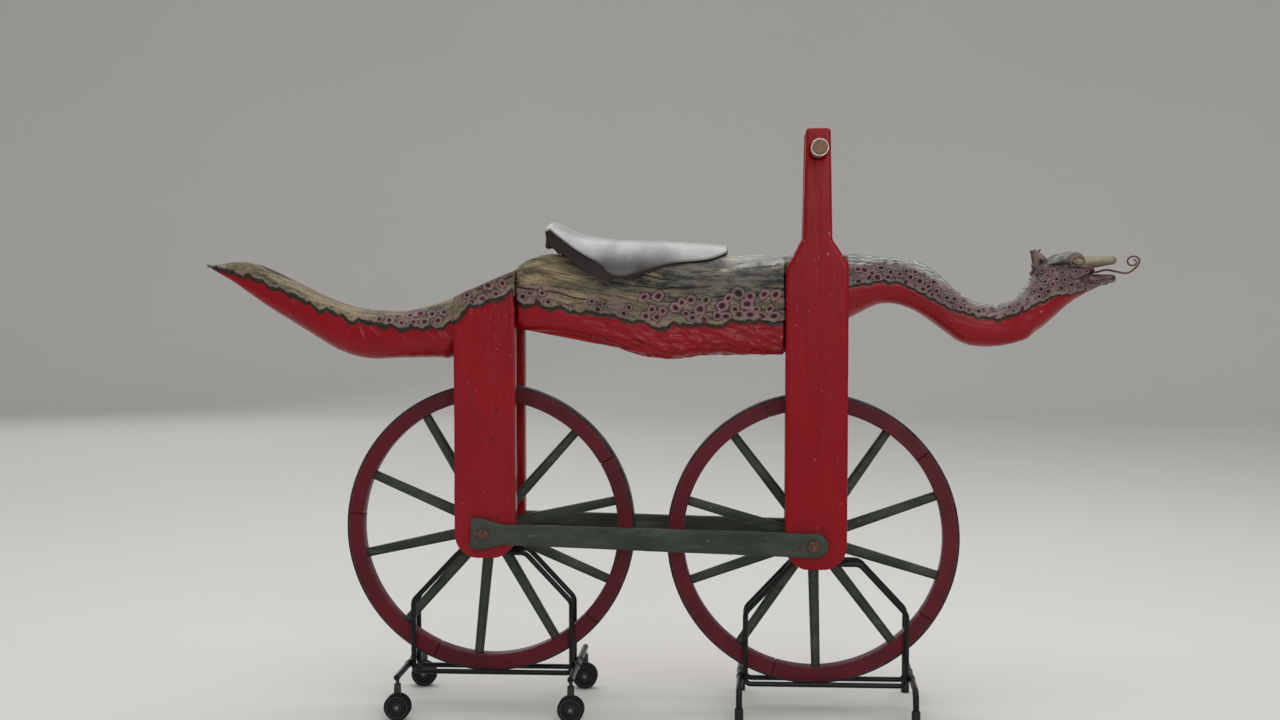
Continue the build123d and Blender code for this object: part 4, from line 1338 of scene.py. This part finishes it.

# %% [markdown]
# The leather shines softly, so its finish is mostly sheen: a roughness that varies with wear, a
# faint grain of pores and a few darker creases where riders sat. Its colour darkens with the fall
# below the crest, as painted shade on the flank that turns under.

# %% Saddle leather
def saddle_leather(name, light, shade, rough, shine):
    finish = Finish(name, Specular_IOR_Level=shine)
    clouds = finish.noise(70, detail=4)
    pores = finish.chips(1.6)
    creases = finish.noise(12, (0.5, 1, 1), detail=5, warp=0.6).rise(0.62, 0.7)
    fall = finish.mark("fall") + clouds * 14
    streaks = finish.noise(6, (1, 1, 0.15), detail=4).rise(0.5, 0.66)
    colour = finish.layers(
        finish.shades(clouds, light, shade, 0.35, 0.7),
        (creases * 0.25, (70, 68, 66)),
        # darker towards the lower flank by the fall below the crest: painted shade where the flank turns
        # under, with darker streaks in it
        (fall.rise(14, 56) * 0.94, (48, 41, 40)),
        (streaks * fall.rise(24, 50) * 0.4, (52, 42, 42)),
    )
    finish.wear(colour, rough + clouds * 0.15 + creases * 0.1)
    finish.bump(pores * 0.5 + clouds * 0.6, 0.15)
    return finish.material


def lining_depth(share, pad, skirt):
    """Depth of the lining's underside: the skirt's at the rims, the pad's in the middle."""
    return LEATHER_THICK + skirt + (pad - skirt) * (1 - share**4)


TOP_LEATHER = saddle_leather("saddle_leather", (176, 178, 174), (150, 152, 150), rough=0.26, shine=0.5)
LINING = saddle_leather("saddle_lining", (28, 21, 20), (54, 41, 39), rough=0.5, shine=0.25)
rows = through(SADDLE, LEATHER_ROWS)
form = bmesh.new()
skin_top = saddle_grid(form, rows, lambda share, pad, skirt: 0, inset=0)
skin_under = saddle_grid(form, rows, lambda share, pad, skirt: LEATHER_THICK, inset=0.6)
close_grids(form, skin_top, skin_under)
leather = new_piece("saddle_leather_top", form)
form = bmesh.new()
pad_top = saddle_grid(form, rows, lambda share, pad, skirt: LEATHER_THICK + 0.2, inset=2.5)
pad_under = saddle_grid(form, rows, lining_depth, inset=5)
close_grids(form, pad_top, pad_under)
lining = new_piece("saddle_pad", form)
TORN_BACK, TORN_DEPTH = 112, 5
crest_ahead, crest_rise = np.array(SADDLE)[:, :2].T
for piece, material in ((leather, TOP_LEATHER), (lining, LINING)):
    ease = piece.modifiers.new("rounded edges", "BEVEL")
    ease.width = 0.8 * MM
    ease.segments = 2
    apply_modifiers(piece)
    hide = Wood(piece)
    # the fall below the crest, which the finish turns into painted shade on the lower flank
    fall = np.interp(hide.ahead, crest_ahead, crest_rise) - hide.points[:, 2]
    if piece is lining:
        torn = 1 - slope(hide.ahead, TORN_BACK - 10, TORN_BACK)
        hide.points[:, 0] += TORN_DEPTH * torn * cloudy(hide.points, (30, 7, 5), 61)
        hide.points[:, 2] -= 4 * slope(fall, 18, 30) * np.abs(cloudy(hide.points, (9, 30, 30), 62))
    hide.finish(fall=fall)
    mount(piece, material, "saddle_leather", "saddle")
print("saddle ready")

# %% [markdown]
# ## Wheels
# The felloes are dark maroon, the spokes and hubs bottle green like the rails, and the tyre is a
# hoop of dark iron. These solids have the right shape, so they keep it. A weld and a bevel
# modifier round their edges by a millimetre, as a plane and use would.

# %% Eased edges
def ease_edges(node, width, segments=2):
    """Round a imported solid's sharp edges without moving its own points."""
    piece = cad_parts[node]
    weld = piece.modifiers.new("joined corners", "WELD")
    weld.merge_threshold = MM / 100
    bevel = piece.modifiers.new("eased edges", "BEVEL")
    bevel.width = width * MM
    bevel.segments = segments
    bevel.limit_method = "ANGLE"
    bevel.angle_limit = math.radians(40)
    bevel.use_clamp_overlap = False
    bevel.harden_normals = True


def coat(node, material):
    """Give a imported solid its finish."""
    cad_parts[node].data.materials.clear()
    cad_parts[node].data.materials.append(material)


print("edge kit ready")

# %% [markdown]
# The felloes' paint has gone dull and dark, with the wood's end grain and the iron's rust showing
# next to the tyre. How far a point is from the axle gives both rims of the felloes, and the same
# sum works for either wheel when each gets its own material.

# %% Felloes, spokes and tyre
def from_axle(finish, axle):
    """Distance from an axle in millimetres, seen from the side."""
    here = finish.node("TexCoord", output="Object")
    away = finish.node("VectorMath", {"operation": "SUBTRACT"}, {0: here, 1: tuple(axle)})
    flat = finish.node("VectorMath", {"operation": "MULTIPLY"}, {0: away, 1: (1000, 0, 1000)})
    return finish.node("VectorMath", {"operation": "LENGTH"}, {0: flat}, "Value")


TYRE_RADIUS, FELLOE_INNER = 240, 213


def maroon_paint(name, axle):
    finish = Finish(name, Specular_IOR_Level=0.25)
    reach = from_axle(finish, axle)
    clouds = finish.noise(60, detail=4)
    streaks = finish.noise(5, detail=5, rough=0.7)
    chips = finish.noise(7, detail=4).rise(0.64, 0.7)
    outer_rim = reach.rise(TYRE_RADIUS - 7, TYRE_RADIUS - 3)
    rub = outer_rim.most(1 - reach.rise(FELLOE_INNER, FELLOE_INNER + 3))
    colour = finish.layers(
        finish.shades(clouds, (92, 8, 22), (76, 8, 19)),
        (streaks.rise(0.55, 0.75) * 0.35, (112, 40, 46)),
        (rub * streaks.rise(0.42, 0.6) * 0.6, (92, 66, 70)),
        (chips * 0.4, (56, 28, 28)),
    )
    finish.wear(colour, 0.36 + clouds * 0.2 + chips * 0.2)
    finish.bump(streaks * 0.5 - chips, 0.35)
    return finish.material


def tyre_iron():
    finish = Finish("tyre_iron", Metallic=0.75)
    clouds = finish.noise(25, detail=5)
    rust = finish.noise(9, detail=5).rise(0.55, 0.68)
    colour = finish.layers(finish.shades(clouds, (40, 38, 38), (66, 62, 61)), (rust * 0.6, (70, 44, 36)))
    finish.wear(colour, 0.45 + rust * 0.3)
    finish.bump(clouds + rust * 0.4, 0.3)
    return finish.material


TYRE_IRON = tyre_iron()
for end, axle in (("rear", REAR_AXLE), ("front", FRONT_AXLE)):
    maroon = maroon_paint(f"maroon_paint_{end}", axle)
    for part, material, width in (
        ("felloes", maroon, 1.5), ("spokes", GREEN_PAINT, 1), ("hub", GREEN_PAINT, 1),
        ("tyre", TYRE_IRON, 0.8),
    ):
        coat(f"{end}_{part}", material)
        ease_edges(f"{end}_{part}", width)
print("wheels coated")

# %% [markdown]
# ## Iron, wood and rubber
# The axle ends, nuts, nails and the tongue are rusty iron, and the axle collars are green like the
# hubs. The handlebar is a turned ash rod with a bright ring near each end. The stands are tube,
# painted gloss black, on plastic casters with steel stems and rubber feet. Rust, ash and bright
# metal need only two shades in clouds, so one function makes all three.

# %% Small finishes
def clouded(name, shades, dull, swing, depth, cloud, high=0.65, **plain):
    """Two shades in clouds or streaks, with the roughness and the bump that go with them."""
    finish = Finish(name, **plain)
    clouds = finish.noise(**cloud)
    finish.wear(finish.shades(clouds, *shades, high=high), dull + clouds * swing)
    finish.bump(clouds, depth)
    return finish.material


def stand_paint(name, light, dark, rough, metallic=0.0):
    finish = Finish(name, Metallic=metallic, Specular_IOR_Level=0.25)
    clouds = finish.noise(30, detail=4)
    chips = finish.noise(5, detail=4).rise(0.68, 0.72)
    colour = finish.layers(finish.shades(clouds, light, dark), (chips * 0.6, (86, 78, 72)))
    finish.wear(colour, rough + clouds * 0.15 + chips * 0.3)
    finish.bump(clouds * 0.5 - chips, 0.12)
    return finish.material


def caster_plastic(name, axle):
    """Black tread, a grey ring near the disc's edge as a painted highlight, and a steel hub, told apart by
    the distance from the axle.
    """
    finish = Finish(name, Specular_IOR_Level=0.25)
    reach = from_axle(finish, axle)
    scuffs = finish.noise(6, detail=4)
    colour = finish.layers(
        finish.shades(scuffs, (13, 13, 14), (24, 23, 23), 0.4, 0.7),
        # a painted highlight round the disc's edge
        (reach.band(15.6, 16.6, 0.5) * 0.8, (66, 65, 64)),
        (reach.band(6.2, 7, 0.4) * 0.7, (78, 77, 76)),
        (1 - reach.rise(3, 3.6), (112, 110, 108)),
    )
    finish.wear(colour, 0.4 + scuffs * 0.2)
    finish.bump(reach.band(9, 14, 1) * -1 + scuffs * 0.1, 0.8)
    return finish.material


RUSTY_IRON = clouded(
    "rusty_iron", ((78, 48, 40), (122, 84, 68)), dull=0.5, swing=0.3, depth=0.4,
    cloud={"size_mm": 6, "detail": 5}, Metallic=0.55,
)
BAR_WOOD = clouded(
    "bar_wood", ((92, 62, 44), (138, 100, 72)), dull=0.42, swing=0.2, depth=0.2,
    cloud={"size_mm": 5, "stretch": (1, 0.05, 1), "detail": 5, "rough": 0.65},
)
FERRULE_METAL = clouded(
    "ferrule_metal", ((196, 192, 184), (150, 146, 138)), dull=0.25, swing=0.2, depth=0.05,
    cloud={"size_mm": 3, "stretch": (1, 8, 1), "detail": 4}, high=0.7, Metallic=1.0,
)
STAND_PAINT = stand_paint("stand_paint", (14, 14, 15), (8, 8, 9), rough=0.22)
CASTER_STEEL = stand_paint("caster_steel", (92, 92, 94), (62, 62, 64), rough=0.3, metallic=0.9)
FOOT_RUBBER = stand_paint("foot_rubber", (30, 30, 30), (40, 40, 40), rough=0.65)
coat("handlebar", BAR_WOOD)
coat("handlebar_ferrules", FERRULE_METAL)
mount(tongue, RUSTY_IRON, "rusty_iron", "tongue")
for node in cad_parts:
    if node.endswith(("_axle", "_axle_nuts")):
        coat(node, RUSTY_IRON)
    elif node.endswith("_axle_collars"):
        coat(node, GREEN_PAINT)
    elif "stand_foot" in node:
        coat(node, FOOT_RUBBER)
    elif "stand" in node:
        coat(node, STAND_PAINT)
    elif "caster_discs" in node:
        place = node.removeprefix("caster_discs_")
        coat(node, caster_plastic(f"caster_plastic_{place}", middle(node)))
        ease_edges(node, 1.2, 1)
    elif "caster_swivel" in node:
        coat(node, CASTER_STEEL)
for part in ("axle_nuts", "axle_collars"):
    for end in ("rear", "front"):
        ease_edges(f"{end}_{part}", 0.8)
print("all solids coated")

# %% [markdown]
# ## Nails and welds
# Forged nails hold the rails to the boards, and a bead of weld runs round each cross tube where a
# hoop meets it. Both are turned forms: a row of circles along an axis from side to side, shaken a
# little by noise so that no two are alike.

# %% Nails and welds
TURNED_POINTS = 20


def add_turned(form, ahead, rise, profile, shake):
    """Closed form round an axis from side to side, through rows of a place across and a radius."""
    circles = []
    turn = np.arange(TURNED_POINTS) / TURNED_POINTS * math.tau
    for across, radius in profile:
        x, z = np.cos(turn) * radius + ahead, np.sin(turn) * radius + rise
        ring = np.column_stack((x, np.full(len(turn), across), z))
        ring += shake * cloudy(ring, 2.5, 71)[:, None] * (ring - (ahead, across, rise)) / radius
        circles.append([form.verts.new(spot(*point)) for point in ring])
    lay_faces(form, circles)
    bmesh.ops.recalc_face_normals(form, faces=form.faces)


# height over the wood, share of the radius
NAIL_HEAD = ((-2, 0.5), (-0.4, 0.95), (0.3, 1), (0.8, 0.8), (1.15, 0.4))
# ahead of the rear axle, rise, radius
NAILS = ((-14, -282, 4), (512, -299, 3.6), (521, -310, 3))
WELD_BEAD = ((-2.3, 4.4), (-1.4, 5.4), (0, 5.9), (1.4, 5.4), (2.3, 4.4))
HOOP_MIDDLE, HOOP_RADIUS = middle("rear_stand_hoop_left").y / MM, 4.2
REAR_TUBE_RISE, FRONT_TUBE_RISE = -510, -524
WELDS = (
    (-136.2, REAR_TUBE_RISE), (145.2, REAR_TUBE_RISE),
    (415.4, FRONT_TUBE_RISE), (696.6, FRONT_TUBE_RISE),
)
NAIL_SUNK = 0.6
rail_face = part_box("side_rail_left")[1][1] / MM - NAIL_SUNK
nails, welds = bmesh.new(), bmesh.new()
for name, side in SIDES:
    for ahead, rise, radius in NAILS:
        add_turned(nails, ahead, rise, [(side * (rail_face + h), r * radius) for h, r in NAIL_HEAD], 0.3)
    for ahead, rise in WELDS:
        for shift in (-HOOP_RADIUS, HOOP_RADIUS):
            across = side * HOOP_MIDDLE + shift
            add_turned(welds, ahead, rise, [(across + h, r) for h, r in WELD_BEAD], 0.5)
for name, form, material, slot in (
    ("rail_nails", nails, RUSTY_IRON, "rusty_iron"), ("weld_beads", welds, STAND_PAINT, "stand_paint")
):
    piece = new_piece(name, form)
    piece.data.shade_smooth()
    mount(piece, material, slot)
print("nails and welds added")

# %% [markdown]
# ## Floor
# A plain pale sheet runs under the machine and curves up behind it, as in a photographer's
# studio. It isn't part of the object.

# %% Studio sheet
def studio_sheet():
    finish = Finish("studio_sheet")
    cloud = finish.noise(900, detail=1)
    finish.wear(finish.blend(cloud, (214, 212, 208), (218, 216, 212)), 0.85 + cloud * 0.05)
    return finish.material


form = bmesh.new()
SHEET_HALF_WIDTH, SHEET_FRONT, SHEET_BACK, SHEET_TOP, SHEET_CURVE, CURVE_STEPS = 16, -16, 7.4, 7, 1.8, 12
profile = [(SHEET_FRONT, 0), (SHEET_BACK - SHEET_CURVE, 0)]
for step in range(1, CURVE_STEPS + 1):
    turn = step / CURVE_STEPS * math.pi / 2
    profile.append((SHEET_BACK - SHEET_CURVE * (1 - math.sin(turn)), SHEET_CURVE * (1 - math.cos(turn))))
profile.append((SHEET_BACK, SHEET_TOP))
rows = [[form.verts.new((x, y, z)) for x in (-SHEET_HALF_WIDTH, SHEET_HALF_WIDTH)] for y, z in profile]
for low, high in zip(rows, rows[1:]):
    form.faces.new((low[0], low[1], high[1], high[0]))
sheet = new_piece("studio_sheet", form)
sheet.data.shade_smooth()
sheet.data.materials.append(studio_sheet())
print("studio sheet ready")
